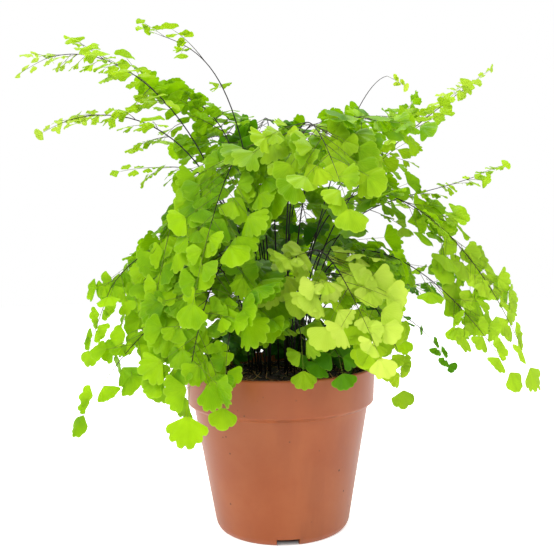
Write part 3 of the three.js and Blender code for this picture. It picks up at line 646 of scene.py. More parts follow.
# Room kept between the main blades, and round the small ones between them: millimetres, and the
# share of a leaflet's box that counts, to other fronds and to its own.
room = {"clear": 1.3, "own": 0.8, "box": 1.0, "ownBox": 0.85}
closeRoom = {"clear": 0.3, "own": 0.1, "box": 0.72, "ownBox": 0.45}
fanBox = {  # the boxes that stand for a leaflet's fan and its foot, as shares of its length
    "middle": 0.64, "halfLength": 0.38, "halfWidth": 0.82, "sideHalfWidth": 0.72,
    "foot": 0.14, "footHalfLength": 0.16, "footHalfWidth": 0.28,
}
potRoom = {"height": 100.6, "radius": 60.0}  # no leaflet comes in here
fill = {  # what grows between the main branches
    # pitch is between branches of one side, over the length of a leaflet; doubles is the share of
    # leaflets with a second one under them; faced turns the branches to the plant's broad side;
    # loose is by how many degrees leaflets may be turned, in all
    "full": {
        "pitch": 0.66, "length": 0.86, "size": 1.0, "shorten": 0.48, "doubles": 0.7, "faced": 0.9, "loose": 0,
    },
    "airy": {
        "pitch": 1.3, "length": 0.75, "size": 0.95, "shorten": 0.9, "doubles": 0.1, "faced": 0.5, "loose": 40,
    },
    "airyBelow": 0.55,  # fronds whose leaflets shrink to less than this share at the tip are airy
    "leaves": 6, "posesTried": 12,
    "nearMain": 0.4,  # none stands nearer to a main branch than this share of the pitch
    "reachPast": 1.0,  # millimetres past the solids' own reach
    "own": {  # what differs in single fronds; from is where small branches start, 0 at the first leaflets
        "front_left_fall": {"pitch": 0.3, "size": 0.85, "shorten": 0.3},
        "front_low": {"pitch": 0.45, "size": 0.9},
        "second_right_arch": {"pitch": 0.3, "shorten": 0.35},
        "right_arch": {"pitch": 0.28, "shorten": 0.3},
        "top_spray": {"pitch": 3.0},
        "right_wisp": {"pitch": 2.4},
        "left_fall": {"pitch": 0.55},
        "back_low": {"from": -0.8, "pitch": 0.5},
        "back_fall_a": {"from": -0.8, "pitch": 0.5},
        "back_fall_b": {"from": -0.8, "pitch": 0.5},
        "back_left_fall": {"from": -0.8, "pitch": 0.55},
        "back_right_fall": {"from": -0.8, "pitch": 0.55},
        "left_back_fall": {"from": -0.75, "pitch": 0.55},
        "canopy_back": {"from": -0.4},
        "canopy_back_left": {"from": -0.45},
        "canopy_back_right": {"from": -0.35},
        "front_high": {"from": -0.2},
    },
    "low": {"length": 0.5, "size": 0.8},  # of the usual, below the first leaflets
    "second": {"down": 0.34, "turn": 0.72, "size": 0.86, "key": 30, "under": 0.11},  # a leaflet's second one
    "openings": [  # boxes kept free of small branches, so that the stems show
        ((-22, -110, 98), (8, -14, 123)), ((74, -45, 167), (96, 40, 182)), ((82, -40, 232), (125, 60, 252)),
        ((-92, -90, 176), (-72, -10, 205)), ((70, -110, 112), (92, 20, 156)),
        ((-50, 10, 279), (45, 120, 325)), ((36, -60, 182), (78, 60, 200)),
    ],
}

# name, heading, root, path of [reach, height] at its thirds, bare share, longest branch, leaf,
# share of the leaf at the tip, share of the end branch, lift of the side branches, tone
fronds = [
    ("front_left_fall", 243, 20, ((42, 174), (83, 150), (104, 94)), 0.36, 34, 14.5, 0.95, 0.22, 0, "fresh"),
    ("pale_front_right", 295, 20, ((40, 170), (80, 158), (113, 122)), 0.32, 34, 12.5, 0.8, 0.28, 0, "pale"),
    ("right_arch", 345, 14, ((37, 199), (95, 191), (147, 110)), 0.34, 26, 12.5, 0.9, 0.2, 0, "fresh"),
    ("left_fall", 225, 17, ((35, 188), (70, 203), (94, 150)), 0.38, 32, 14, 0.85, 0.28, 0, "fresh"),
    ("centre_front", 288, 9, ((30, 228), (70, 238), (108, 196)), 0.4, 38, 13, 0.9, 0.28, 0, "bright"),
    ("front_high", 247, 16, ((30, 221), (70, 214), (106, 154)), 0.36, 34, 12.5, 0.85, 0.28, 0, "fresh"),
    ("front_low", 251, 23, ((38, 150), (72, 142), (91, 97)), 0.36, 30, 12.5, 0.8, 0.28, 0, "fresh"),
    ("front_right_fall", 309, 23, ((43, 158), (84, 140), (102, 101)), 0.4, 27, 11, 0.8, 0.28, 0, "bright"),
    ("second_right_arch", 333, 19, ((37, 165), (86, 163), (138, 108)), 0.4, 27, 11.5, 0.8, 0.22, 0, "fresh"),
    ("far_left_fall", 199, 20, ((36, 170), (84, 173), (116, 122)), 0.4, 29, 11.5, 0.7, 0.28, 0, "fresh"),
    ("low_left_fall", 213, 24, ((40, 147), (84, 134), (125, 89)), 0.45, 25, 11, 0.95, 0.28, 0, "fresh"),
    ("long_left_spray", 187, 11, ((44, 228), (100, 290), (154, 284)), 0.42, 47, 11, 0.46, 0.16, 0.35, "bright"),
    ("left_spray", 206, 14, ((44, 213), (96, 251), (141, 240)), 0.5, 36, 9.5, 0.5, 0.2, 0.35, "bright"),
    ("top_spray", 168, 7, ((22, 240), (50, 300), (88, 320)), 0.5, 46, 9, 0.6, 0.2, 0.35, "bright"),
    ("back_left_high", 150, 11, ((28, 225), (62, 275), (105, 294)), 0.44, 40, 11.5, 0.6, 0.28, 0.35, "fresh"),
    ("left_shelf", 196, 15, ((30, 192), (56, 224), (97, 222)), 0.4, 34, 11, 0.54, 0.28, 0.2, "fresh"),
    ("high_right", 18, 10, ((38, 188), (92, 250), (159, 298)), 0.48, 43, 10.5, 0.48, 0.16, 0.6, "bright"),
    ("back_right_high", 34, 11, ((34, 192), (84, 247), (124, 284)), 0.48, 38, 11, 0.7, 0.28, 0.5, "fresh"),
    ("right_wisp", 3, 16, ((36, 178), (80, 206), (146, 226)), 0.52, 34, 8, 0.7, 0.18, 0.2, "bright"),
    ("canopy_right", 322, 8, ((26, 224), (58, 250), (98, 240)), 0.4, 38, 13, 0.8, 0.28, 0, "fresh"),
    ("canopy_back_right", 62, 8, ((26, 230), (64, 263), (112, 257)), 0.38, 43, 13, 0.8, 0.28, 0, "fresh"),
    ("canopy_back", 98, 8, ((22, 232), (56, 268), (104, 262)), 0.38, 43, 13, 0.8, 0.28, 0, "deep"),
    ("canopy_back_left", 126, 12, ((26, 222), (62, 258), (108, 252)), 0.4, 40, 12.5, 0.6, 0.28, 0, "fresh"),
    ("short_front", 280, 25, ((34, 122), (56, 133), (70, 110)), 0.5, 17, 11, 0.9, 0.28, 0, "bright"),
    ("rim_shade", 299, 27, ((38, 117), (58, 120), (70, 106)), 0.5, 16, 10.5, 0.9, 0.28, 0, "deep"),
    ("thin_right", 14, 21, ((35, 141), (78, 149), (126, 156)), 0.55, 18, 8, 0.7, 0.28, 0, "deep"),
    ("low_right", 350, 25, ((36, 134), (70, 136), (104, 104)), 0.45, 17, 8.5, 0.6, 0.28, 0, "deep"),
    ("young", 24, 5, ((33, 202), (66, 276), (96, 286)), 0.5, 0, 5, 0.8, 0.3, 0, "pale"),
    ("back_right_fall", 42, 20, ((40, 174), (86, 172), (122, 112)), 0.38, 32, 13, 0.75, 0.28, 0, "fresh"),
    ("back_fall_a", 75, 20, ((40, 200), (80, 200), (108, 138)), 0.38, 36, 13, 0.75, 0.28, 0, "fresh"),
    ("back_fall_b", 110, 20, ((40, 186), (80, 186), (110, 128)), 0.38, 36, 13, 0.75, 0.28, 0, "fresh"),
    ("back_left_fall", 140, 20, ((40, 182), (88, 184), (126, 118)), 0.38, 36, 13, 0.75, 0.28, 0, "fresh"),
    ("left_back_fall", 170, 21, ((36, 160), (76, 166), (106, 126)), 0.4, 31, 11.5, 0.75, 0.28, 0, "fresh"),
    ("back_low", 92, 26, ((40, 134), (72, 138), (98, 98)), 0.42, 25, 11, 0.75, 0.28, 0, "deep"),
]
keys = ("name", "heading", "root", "path", "bare", "spread", "leaf", "tip", "end", "lift", "tone")
fronds = [dict(zip(keys, row)) for row in fronds]
up = np.array([0.0, 0.0, 1.0])


def unit(v):
    return v / np.linalg.norm(v, axis=-1, keepdims=True)


def polar(degrees, reach, height):
    turn = math.radians(degrees)
    return np.array([reach * math.cos(turn), reach * math.sin(turn), height])


def through(p, t):
    # The cubic through four points at 0, 1/3, 2/3 and 1, as their weighted sum.
    t = np.asarray(t, float)[..., None]
    a, b, c = t - 1 / 3, t - 2 / 3, t - 1
    shares = (-4.5 * a * b * c, 13.5 * t * b * c, -13.5 * t * a * c, 4.5 * t * a * b)
    return p[0] * shares[0] + p[1] * shares[1] + p[2] * shares[2] + p[3] * shares[3]


def alongStem(frond, share):  # share of the leafy stretch, as a share of the whole stem
    return frond["bare"] + (1 - frond["bare"]) * (1 - frond["end"]) * share


def nodeAt(leafy, share, frond):  # a place on the leafy stretch, straight between its steps
    at = share * (len(leafy) - 1)
    k = min(math.floor(at), len(leafy) - 2)
    return {"along": share * (1 - frond["end"]), "share": share,
            "point": mix(leafy[k], leafy[k + 1], at - k), "tangent": unit(leafy[k + 1] - leafy[k])}


def layStem(frond):
    # A stem from the soil through the three stations of its path, in a few straight steps, and
    # the shares of its leafy stretch where the main branches stand.
    s = stemShape
    foot = polar(frond["heading"], frond["root"], s["soilTop"] - s["sunk"])
    stations = [foot] + [polar(frond["heading"], *spot) for spot in frond["path"]]
    bare = [frond["bare"] * i / s["bareSteps"] for i in range(s["bareSteps"])]
    green = [frond["bare"] + (1 - frond["bare"]) * (1 - frond["end"]) * i / s["greenSteps"]
             for i in range(s["greenSteps"] + 1)]
    line = through(stations, bare + green)
    leafy = line[s["bareSteps"]:]
    whole = np.linalg.norm(np.diff(leafy, axis=0), axis=1).sum()
    pitch = growth["nodePitch"] * frond["leaf"] * (1 + frond["tip"]) / 2
    count = 0
    if frond["spread"]:
        count = min(max(math.floor(whole / pitch + 0.5), 2), growth["nodesAtMost"])
    shares = [mix(growth["firstNode"], growth["lastNode"], i / (count - 1)) for i in range(count)]
    return {"side": polar(frond["heading"] + 90, 1, 0), "out": polar(frond["heading"], 1, 0),
            "line": line, "leafy": leafy, "whole": whole, "shares": shares, "tip": through(stations, 1.0),
            "stations": stations}


def hanging(tangent):  # 0 where a stem rises, 1 where it hangs
    return min(max((growth["rises"] - tangent[2]) / (growth["rises"] - growth["hangs"]), 0), 1)


def facing(tangent, out, index, key):
    # The leaves' upper side: a weighted sum of up, outwards and the nearer broad side of the
    # plant, by how steeply the stem falls, and a little spread.
    g = growth
    hang = hanging(tangent)
    broad = polar(270 if out[1] < 0.25 else 90, 1, 0)
    normal = up * mix(*g["faceUp"], hang) + out * mix(*g["faceOut"], hang)
    normal += broad * mix(*g["faceBroad"], hang)
    normal[0] += g["faceSpread"] * (chance(index, key, 8) - 0.5)
    normal[1] += g["faceSpread"] * (chance(index, key, 9) - 0.5)
    return normal


def sideBranch(frond, index, laid, node, key, hand, grown=None):
    # A branch at a node: it leaves the stem at a turn that narrows towards the tip, with the
    # frond's lift less a little fall, and its length and leaflets shrink towards the tip. Where
    # it would be short, a single leaflet stands in its place.
    g = growth
    along = node["along"]
    grown = grown or {"size": 1, "length": 1, "shorten": g["shorten"], "faced": 0}
    size = frond["leaf"] * mix(1, frond["tip"], along) * mix(*g["sizes"], chance(index, key, 5))
    size *= grown["size"]
    full = frond["spread"] * (1 - along) ** grown["shorten"] * mix(*g["lengths"], chance(index, key, 2))
    full *= grown["length"]
    single = full < g["singleBelow"] * size
    turn = g["singleTurn"] if single else mix(*g["turn"], along)
    turn = math.radians(turn + g["turnSpread"] * (chance(index, key, 1) - 0.5))
    normal = facing(node["tangent"], laid["out"], index, key)
    side = laid["side"]
    hang = hanging(node["tangent"])
    if grown["faced"]:
        broadside = unit(np.cross(normal, node["tangent"]))
        broadside *= 1 if broadside @ side > 0 else -1
        side = unit(mix(side, broadside, grown["faced"] * hang ** 2))
    away = node["tangent"] * math.cos(turn) + side * hand * math.sin(turn)
    away[2] += frond["lift"] - mix(*g["fall"], chance(index, key, 3))
    length = stemShape["sideFoot"] + blade["stalk"] * size if single else full
    return {"index": index, "root": node["point"], "away": unit(away), "normal": normal, "length": length,
            "size": size, "single": single, "hand": hand, "key": key, "kept": g["keptAtSides"],
            "share": node["share"]}


def layBranches(frond, index, laid):
    # The end branch, which sags onto the stem's tip, and side branches by turns.
    foot = laid["line"][-1]
    reach = np.linalg.norm(laid["tip"] - foot)
    way = unit(laid["tip"] - foot + up * blade["droop"] * reach * reach)
    end = {"index": index, "root": foot, "away": way, "normal": facing(way, laid["out"], index, 90),
           "length": reach, "size": frond["leaf"] * frond["tip"], "single": False, "hand": 1, "key": 90,
           "kept": growth["keptAtEnd"], "share": 1.0}
    sides = [sideBranch(frond, index, laid, nodeAt(laid["leafy"], share, frond), i, 1 if i % 2 else -1)
             for i, share in enumerate(laid["shares"])]
    return [end] + sides


poses = [  # twist, lift and share of its size that a branch tries, in this order
    (0, 0, 1), (0.35, 0, 1), (-0.35, 0, 1), (0, 0.3, 1), (0, -0.35, 1), (0.6, 0.3, 0.95), (-0.6, 0.3, 0.95),
    (0.6, -0.35, 0.9), (-0.6, -0.35, 0.9), (0, 0.7, 0.85), (0, -0.8, 0.8), (1, 0, 0.75), (-1, 0, 0.75),
    (0, 0.2, 0.6),
]


def poseBranch(branch, twist, lift, share, loose=0):
    # The branch bent by lift, turned about itself by twist and cut to a share of its size, with
    # its leaflets as (place along it, turn, size, half angle, number) from the end inwards.
    away = unit(branch["away"] + up * lift)
    flat = unit(branch["normal"] - away * np.dot(branch["normal"], away))
    normal = flat * math.cos(twist) + np.cross(away, flat) * math.sin(twist)
    length, size = branch["length"] * share, branch["size"] * share
    half = blade["sideHalfAngle"] if branch["single"] else blade["halfAngle"]
    leaves = [(length, 0.0, size, half, 0)]
    count = math.floor((length / size - blade["firstFoot"] - blade["firstBack"]) / blade["nextBack"]) + 1
    for k in range(1, count + 1):
        stray = loose * (chance(branch["index"], branch["key"], 120 + k) - 0.5)
        leaves.append((length - size * (blade["firstBack"] + blade["nextBack"] * (k - 1)),
                       branch["hand"] * (1 if k % 2 else -1) * blade["sideTurn"] + stray,
                       size * mix(*growth["sideSizes"], chance(branch["index"], branch["key"], 20 + k)),
                       blade["sideHalfAngle"], k))
    return {**branch, "away": away, "normal": normal, "across": np.cross(away, normal), "length": length,
            "size": size, "leaves": leaves}


def onBranch(b, x, y, lift):
    # A point of a branch's bent plane: x across it, y along it and lift off it, arched by x^2
    # and sagging by y^2.
    x, y, lift = (np.asarray(value, float)[..., None] for value in (x, y, lift))
    return (b["root"] + b["across"] * x + b["away"] * y + b["normal"] * (lift - blade["arch"] * x * x)
            - up * blade["droop"] * y * y)


def onLeaf(leaf, reach):  # across and along the branch, at a share of the leaflet's length
    y, turn, size = leaf[:3]
    return size * reach * math.sin(math.radians(turn)), y + size * reach * math.cos(math.radians(turn))


class Placed:
    # Everything that stands already: boxes round the leaflets and straight edges along the
    # stems, ribs and margins.
    def __init__(self):
        self.middle, self.axes, self.half = np.zeros((0, 3)), np.zeros((0, 3, 3)), np.zeros((0, 2))
        self.p, self.q = np.zeros((0, 3)), np.zeros((0, 3))
        self.boxFrond, self.edgeFrond = np.zeros(0, int), np.zeros(0, int)
        self.stem, self.rod = np.zeros(0, bool), np.zeros(0, bool)

    def add(self, **more):
        for key, values in more.items():
            setattr(self, key, np.concatenate([getattr(self, key), values]))

    def addEdges(self, p, q, frond, stem=False, rod=False):
        many = len(p)
        self.add(p=p, q=q, edgeFrond=np.full(many, frond), stem=np.full(many, stem), rod=np.full(many, rod))

    def addBoxes(self, boxes, frond):
        self.add(middle=boxes[0], axes=boxes[1], half=boxes[2], boxFrond=np.full(len(boxes[0]), frond))


placed = Placed()


def leafBoxes(b, leaf):
    # Middles, axes and half sizes of the two boxes that stand for a leaflet's fan and its foot.
    foot, middle = (onBranch(b, *onLeaf(leaf, fanBox[key]), 0) for key in ("foot", "middle"))
    along = unit(middle - foot)
    turn = math.radians(leaf[1])
    aside = b["across"] * math.cos(turn) - b["away"] * math.sin(turn)
    aside = unit(aside - along * np.dot(aside, along))
    axes = np.array([aside, along, np.cross(aside, along)])
    wide = fanBox["sideHalfWidth"] if leaf[1] else fanBox["halfWidth"]
    half = np.array([[wide, fanBox["halfLength"]], [fanBox["footHalfWidth"], fanBox["footHalfLength"]]])
    return np.array([middle, foot]), np.array([axes, axes]), half * leaf[2]


def leafEdges(b, leaf):
    # The rim of a leaflet, from its foot round the fan and back, and the line down its middle.
    middles, axes, half = leafBoxes(b, leaf)
    a, along = axes[0][0] * half[0][0], axes[0][1] * half[0][1]
    apex = onBranch(b, 0, leaf[0], 0)
    corners = ((1, -0.1), (0.7, 0.8), (0, 1), (-0.7, 0.8), (-1, -0.1))
    rim = np.array([apex] + [middles[0] + a * i + along * j for i, j in corners] + [apex])
    return np.concatenate([rim[:-1], [apex]]), np.concatenate([rim[1:], [middles[0] + along]])


def enters(p, q, middle, axes, sizes):
    # Whether segments p to q pass through boxes: the segment is cut by each pair of faces in
    # turn, and something of it has to be left. Shapes broadcast against each other.
    a = np.einsum("...k,...jk->...j", p - middle, axes)
    d = np.einsum("...k,...jk->...j", q - p, axes)
    slope = np.where(np.abs(d) < 1e-9, 1e-9, d)
    t0, t1 = (-sizes - a) / slope, (sizes - a) / slope
    start = np.maximum(np.minimum(t0, t1).max(-1), 0)
    end = np.minimum(np.maximum(t0, t1).min(-1), 1)
    return start <= end


def apart(p, q, r, s):
    # Distance between many segments p to q and one segment r to s.
    d1, d2, w = q - p, s - r, p - r
    a, b, c = (d1 * d1).sum(-1), d1 @ d2, d2 @ d2
    d, e = (d1 * w).sum(-1), w @ d2
    flat = a * c - b * b
    first = np.where(flat > 1e-9, np.clip((b * e - c * d) / np.where(flat > 1e-9, flat, 1), 0, 1), 0)
    u = np.clip((b * first + e) / c, 0, 1)
    t = np.clip((b * u - d) / np.maximum(a, 1e-12), 0, 1)
    return np.linalg.norm(w + d1 * t[..., None] - d2 * u[..., None], axis=-1)


def blocked(b, kept, space):
    # Whether a branch and its leaflets come too near to the pot or to what stands already.
    rib = (onBranch(b, 0, b["length"] / 6, 0), onBranch(b, 0, b["length"], 0))
    middle, axes, half = (np.concatenate(parts) for parts in zip(*(leafBoxes(b, leaf) for leaf in kept)))
    edges = [leafEdges(b, leaf) for leaf in kept]
    p = np.concatenate([[rib[0]]] + [e[0] for e in edges])
    q = np.concatenate([[rib[1]]] + [e[1] for e in edges])
    low = 0 if space.get("inPot") else potRoom["height"] + 2 * space["clear"]
    if inPot(np.concatenate([p, q]), low, potRoom["radius"] + 2 * space["clear"]):
        return True

    def allowed(own):  # share of a box and millimetres round it, to the own frond or another
        return np.where(own, space["ownBox"], space["box"]), np.where(own, space["own"], space["clear"])

    reach = b["length"] + 1.5 * b["size"]
    near = np.linalg.norm(placed.middle - b["root"], axis=1) <= reach + 1.5 * placed.half[:, 0]
    grow, margin = allowed(placed.boxFrond[near] == b["index"])
    sizes = np.concatenate([placed.half[near] * grow[:, None], np.zeros((near.sum(), 1))], 1)
    sizes += margin[:, None]
    if enters(p[:, None], q[:, None], placed.middle[near], placed.axes[near], sizes).any():
        return True
    nearest = np.minimum(np.linalg.norm(placed.p - b["root"], axis=1),
                         np.linalg.norm(placed.q - b["root"], axis=1))
    own = placed.edgeFrond == b["index"]
    near = (nearest <= reach + np.linalg.norm(placed.p - placed.q, axis=1)) & ~(own & placed.stem)
    grow, margin = allowed(own[near])
    sizes = np.concatenate([half[None] * grow[:, None, None], np.zeros((near.sum(), len(half), 1))], 2)
    sizes += margin[:, None, None]
    if enters(placed.p[near][:, None], placed.q[near][:, None], middle, axes, sizes).any():
        return True
    rods = near & placed.rod & ~own
    return bool((apart(placed.p[rods], placed.q[rods], *rib) < space["clear"] + blade["ribHalfWidth"]).any())


def inPot(points, height, radius):  # whether any point is lower and nearer the axis than these
    return bool(((points[:, 2] < height) & (np.hypot(points[:, 0], points[:, 1]) < radius)).any())


def placeBranch(b, kept, index):
    for leaf in kept:
        placed.addBoxes(leafBoxes(b, leaf), index)
    placed.addEdges(b["root"][None], onBranch(b, 0, b["length"], 0)[None], index, rod=True)
    for leaf in kept:
        placed.addEdges(*leafEdges(b, leaf), index)


def growMain():
    # Every stem stands first, and each branch then bends clear of what is there already.
    laid = [layStem(frond) for frond in fronds]
    for index, one in enumerate(laid):
        placed.addEdges(one["line"][:-1], one["line"][1:], index, stem=True, rod=True)
    for index, (frond, one) in enumerate(zip(fronds, laid)):
        one["branches"] = []
        for branch in layBranches(frond, index, one):
            for pose in poses:
                b = poseBranch(branch, *pose)
                kept = b["leaves"][:1 + branch["kept"]]
                if blocked(b, kept, room):
                    continue
                placeBranch(b, kept, index)
                one["branches"].append({**b, "kept": kept})
                break
    return laid


def nodeBelow(one, frond, share):  # a node on the bare stretch of a stem
    t = alongStem(frond, share)
    ahead = through(one["stations"], t + 0.01) - through(one["stations"], t - 0.01)
    return {"along": 0.0, "share": share, "point": through(one["stations"], t), "tangent": unit(ahead)}


def insideBox(b, kept):
    # Whether the leaflets stay within the plant's own reach and out of its openings.
    points = np.concatenate([e for leaf in kept for e in leafEdges(b, leaf)])
    if any(((points > low) & (points < high)).all(1).any() for low, high in np.array(fill["openings"])):
        return False
    low, high = np.array(cadBox) * 1000 + [[-fill["reachPast"]], [fill["reachPast"]]]
    return bool((points > low).all() and (points < high).all())


def kindOf(frond):
    return "airy" if frond["tip"] < fill["airyBelow"] else "full"


def fillOf(frond):  # the frond's kind of filling, with what is its own
    return {**fill[kindOf(frond)], **fill["own"].get(frond["name"], {})}


def growBetween(laid):
    # Small branches between the main ones, on both sides by turns, wherever there is room.
    added = 0
    for index, (frond, one) in enumerate(zip(fronds, laid)):
        if not one["shares"]:
            continue
        grown = fillOf(frond)
        low = {**grown, **{key: grown[key] * share for key, share in fill["low"].items()}}
        pitch = grown["pitch"] * frond["leaf"] * (1 + frond["tip"]) / 2 / one["whole"]
        start = grown.get("from", 0)
        many = 2 * math.floor((1 - start) / pitch)
        for n in range(many):
            share, hand = mix(start, 1, (n + 0.5) / many), 1 if n % 2 else -1
            main = [at for i, at in enumerate(one["shares"]) if (i % 2 == 1) == (hand == 1)]
            if min(abs(at - share) for at in main) < pitch * fill["nearMain"]:
                continue
            node = nodeAt(one["leafy"], share, frond) if share > 0 else nodeBelow(one, frond, share)
            branch = sideBranch(frond, index, one, node, 200 + n, hand, grown if share > 0 else low)
            for pose in poses[:fill["posesTried"]]:
                b = poseBranch(branch, *pose, grown["loose"])
                kept = b["leaves"][:fill["leaves"]]
                if blocked(b, kept, closeRoom) or not insideBox(b, kept):
                    continue
                placeBranch(b, kept, index)
                one["branches"].append({**b, "kept": kept})
                added += 1
                break
    return added


def thicken(laid):
    # A second, smaller leaflet a little under many of the side leaflets, half-way to the next.
    v = fill["second"]
    height, radius = potRoom["height"] + 1, potRoom["radius"] + 1
    for index, (frond, one) in enumerate(zip(fronds, laid)):
        doubles = fillOf(frond)["doubles"]
        for b in one["branches"]:
            more = [(y + v["down"] * size, turn * v["turn"], size * v["size"], half, k + v["key"])
                    for y, turn, size, half, k in b["kept"][1:]
                    if chance(index + 5, b["key"], 70 + k) < doubles]
            b["under"] = [leaf for leaf in more if insideBox(b, [leaf])
                          and not inPot(np.concatenate(leafEdges(b, leaf)), height, radius)]


shoots = {  # short young sprigs that come straight out of the soil, mostly at the back
    "tries": 420, "reach": (16, 50), "middle": 92, "halfAngle": 128, "length": (9, 30), "size": (7.5, 11.0),
    "leaves": 5, "soil": 95.0, "above": 2.5, "wall": 53.0, "clear": 0.2, "box": 0.55, "share": 0.1,
    "outwards": (-0.1, 0.5), "aside": (-0.5, 0.5), "turned": (-1.2, 1.2), "raised": (0, 1.2),
}


def growShoots():
    # Each try takes its own place and lean, and stands if it is clear of everything before it.
    s, index = shoots, len(fronds)
    space = {"clear": s["clear"], "own": s["clear"], "box": s["box"], "ownBox": s["box"], "inPot": True}
    stood = []
    for n in range(s["tries"]):
        def pick(low, high, key):
            return mix(low, high, chance(n, 7, key))
        spread = pick(-1, 1, 81)
        heading = s["middle"] + s["halfAngle"] * spread * abs(spread) ** 0.5
        out = polar(heading, 1, 0)
        side = np.cross(up, out)
        away = unit(up + out * pick(*s["outwards"], 83) + side * pick(*s["aside"], 84))
        branch = {"index": index, "root": polar(heading, pick(*s["reach"], 82), s["soil"]), "away": away,
                  "normal": unit(out + side * pick(*s["turned"], 85) + up * pick(*s["raised"], 86)),
                  "length": pick(*s["length"], 88), "size": pick(*s["size"], 87), "single": False,
                  "hand": 1 if n % 2 else -1, "key": 400 + n, "share": s["share"]}
        b = poseBranch(branch, 0, 0, 1, fill["airy"]["loose"])
        kept = b["leaves"][:s["leaves"]]
        tips = np.concatenate([e for leaf in kept for e in leafEdges(b, leaf)])
        walled = (tips[:, 2] < potRoom["height"] + 1) & (np.hypot(tips[:, 0], tips[:, 1]) > s["wall"])
        if walled.any() or tips[:, 2].min() < s["soil"] + s["above"]:
            continue
        if blocked(b, kept, space) or not insideBox(b, kept):
            continue
        placeBranch(b, kept, index)
        stood.append({**b, "kept": kept, "under": []})
    return stood


laid = growMain()
print("main branches", sum(len(one["branches"]) for one in laid),
      "leaflets", sum(len(b["kept"]) for one in laid for b in one["branches"]))
print("small branches", growBetween(laid),
      "leaflets in all", sum(len(b["kept"]) for one in laid for b in one["branches"]))
sprigs = growShoots()
print("sprigs from the soil", len(sprigs), "leaflets", sum(len(b["kept"]) for b in sprigs))
thicken(laid)
print("second leaflets", sum(len(b["under"]) for one in laid for b in one["branches"]))


leafShape = {
    "across": 24, "rings": (0.05, 0.55, 1.0),
    # more lobes on larger leaflets: one more step of lobes for each lobeSize above lobesFrom
    "lobes": (2, 3, 5, 6), "lobesFrom": 5, "lobeSize": 3.2, "lobeChance": 1.3,
    "lobeDepth": (0.08, 0.17), "unevenDepth": 0.07, "cornerDrop": 0.17, "roundness": 0.45, "stalk": 0.1,
    "roll": 0.8, "pitch": 0.6, "curl": (0.02, 0.2), "curlInside": 0.35, "wave": 0.06, "waves": (1.5, 3.5),
    "warp": 0.14, "plump": 1.1,
}
ribShape = {
    "steps": 8, "sides": 5, "foot": 0.24, "tip": 0.12, "fullLength": 30,
    "stalkSteps": 3, "stalkSides": 3, "stalkRadius": 0.13, "stalkPast": 0.06, "fullLeaf": 9,
    "range": (0.55, 1.1), "greenAtFoot": 0.45, "greenGain": 0.3, "greenStalk": 0.7, "belowRoot": -0.15,
}
agingOf = {  # how far leaflets pale towards a frond's tip
    "airy": 1.0, "full": 0.3,
    "own": {"right_arch": 1.0, "second_right_arch": 0.75, "pale_front_right": 0.6},
}
shadeShape = {"reach": 84.0, "reachSoft": 40.0, "height": 235.0, "heightSoft": 45.0}  # millimetres


def gather(branches):
    # One row for each leaflet: its branch's frame, its place on it and its own numbers.
    rows = [(b, leaf) for b in branches for leaf in b["kept"] + b["under"]]
    g = {key: np.array([b[key] for b, _ in rows], float)
         for key in ("root", "across", "away", "normal", "key", "index", "share")}
    g.update({key: np.array([leaf[i] for _, leaf in rows], float)
              for i, key in enumerate(("y", "turn", "size", "half", "k"))})
    g["under"] = np.where(g["k"] >= fill["second"]["key"], fill["second"]["under"], 0.0) * g["size"]
    return g


def frameOf(g, axes):  # the leaflets' branches, with empty axes to work along
    return {key: g[key].reshape(-1, *[1] * axes, 3) for key in ("root", "across", "away", "normal")}


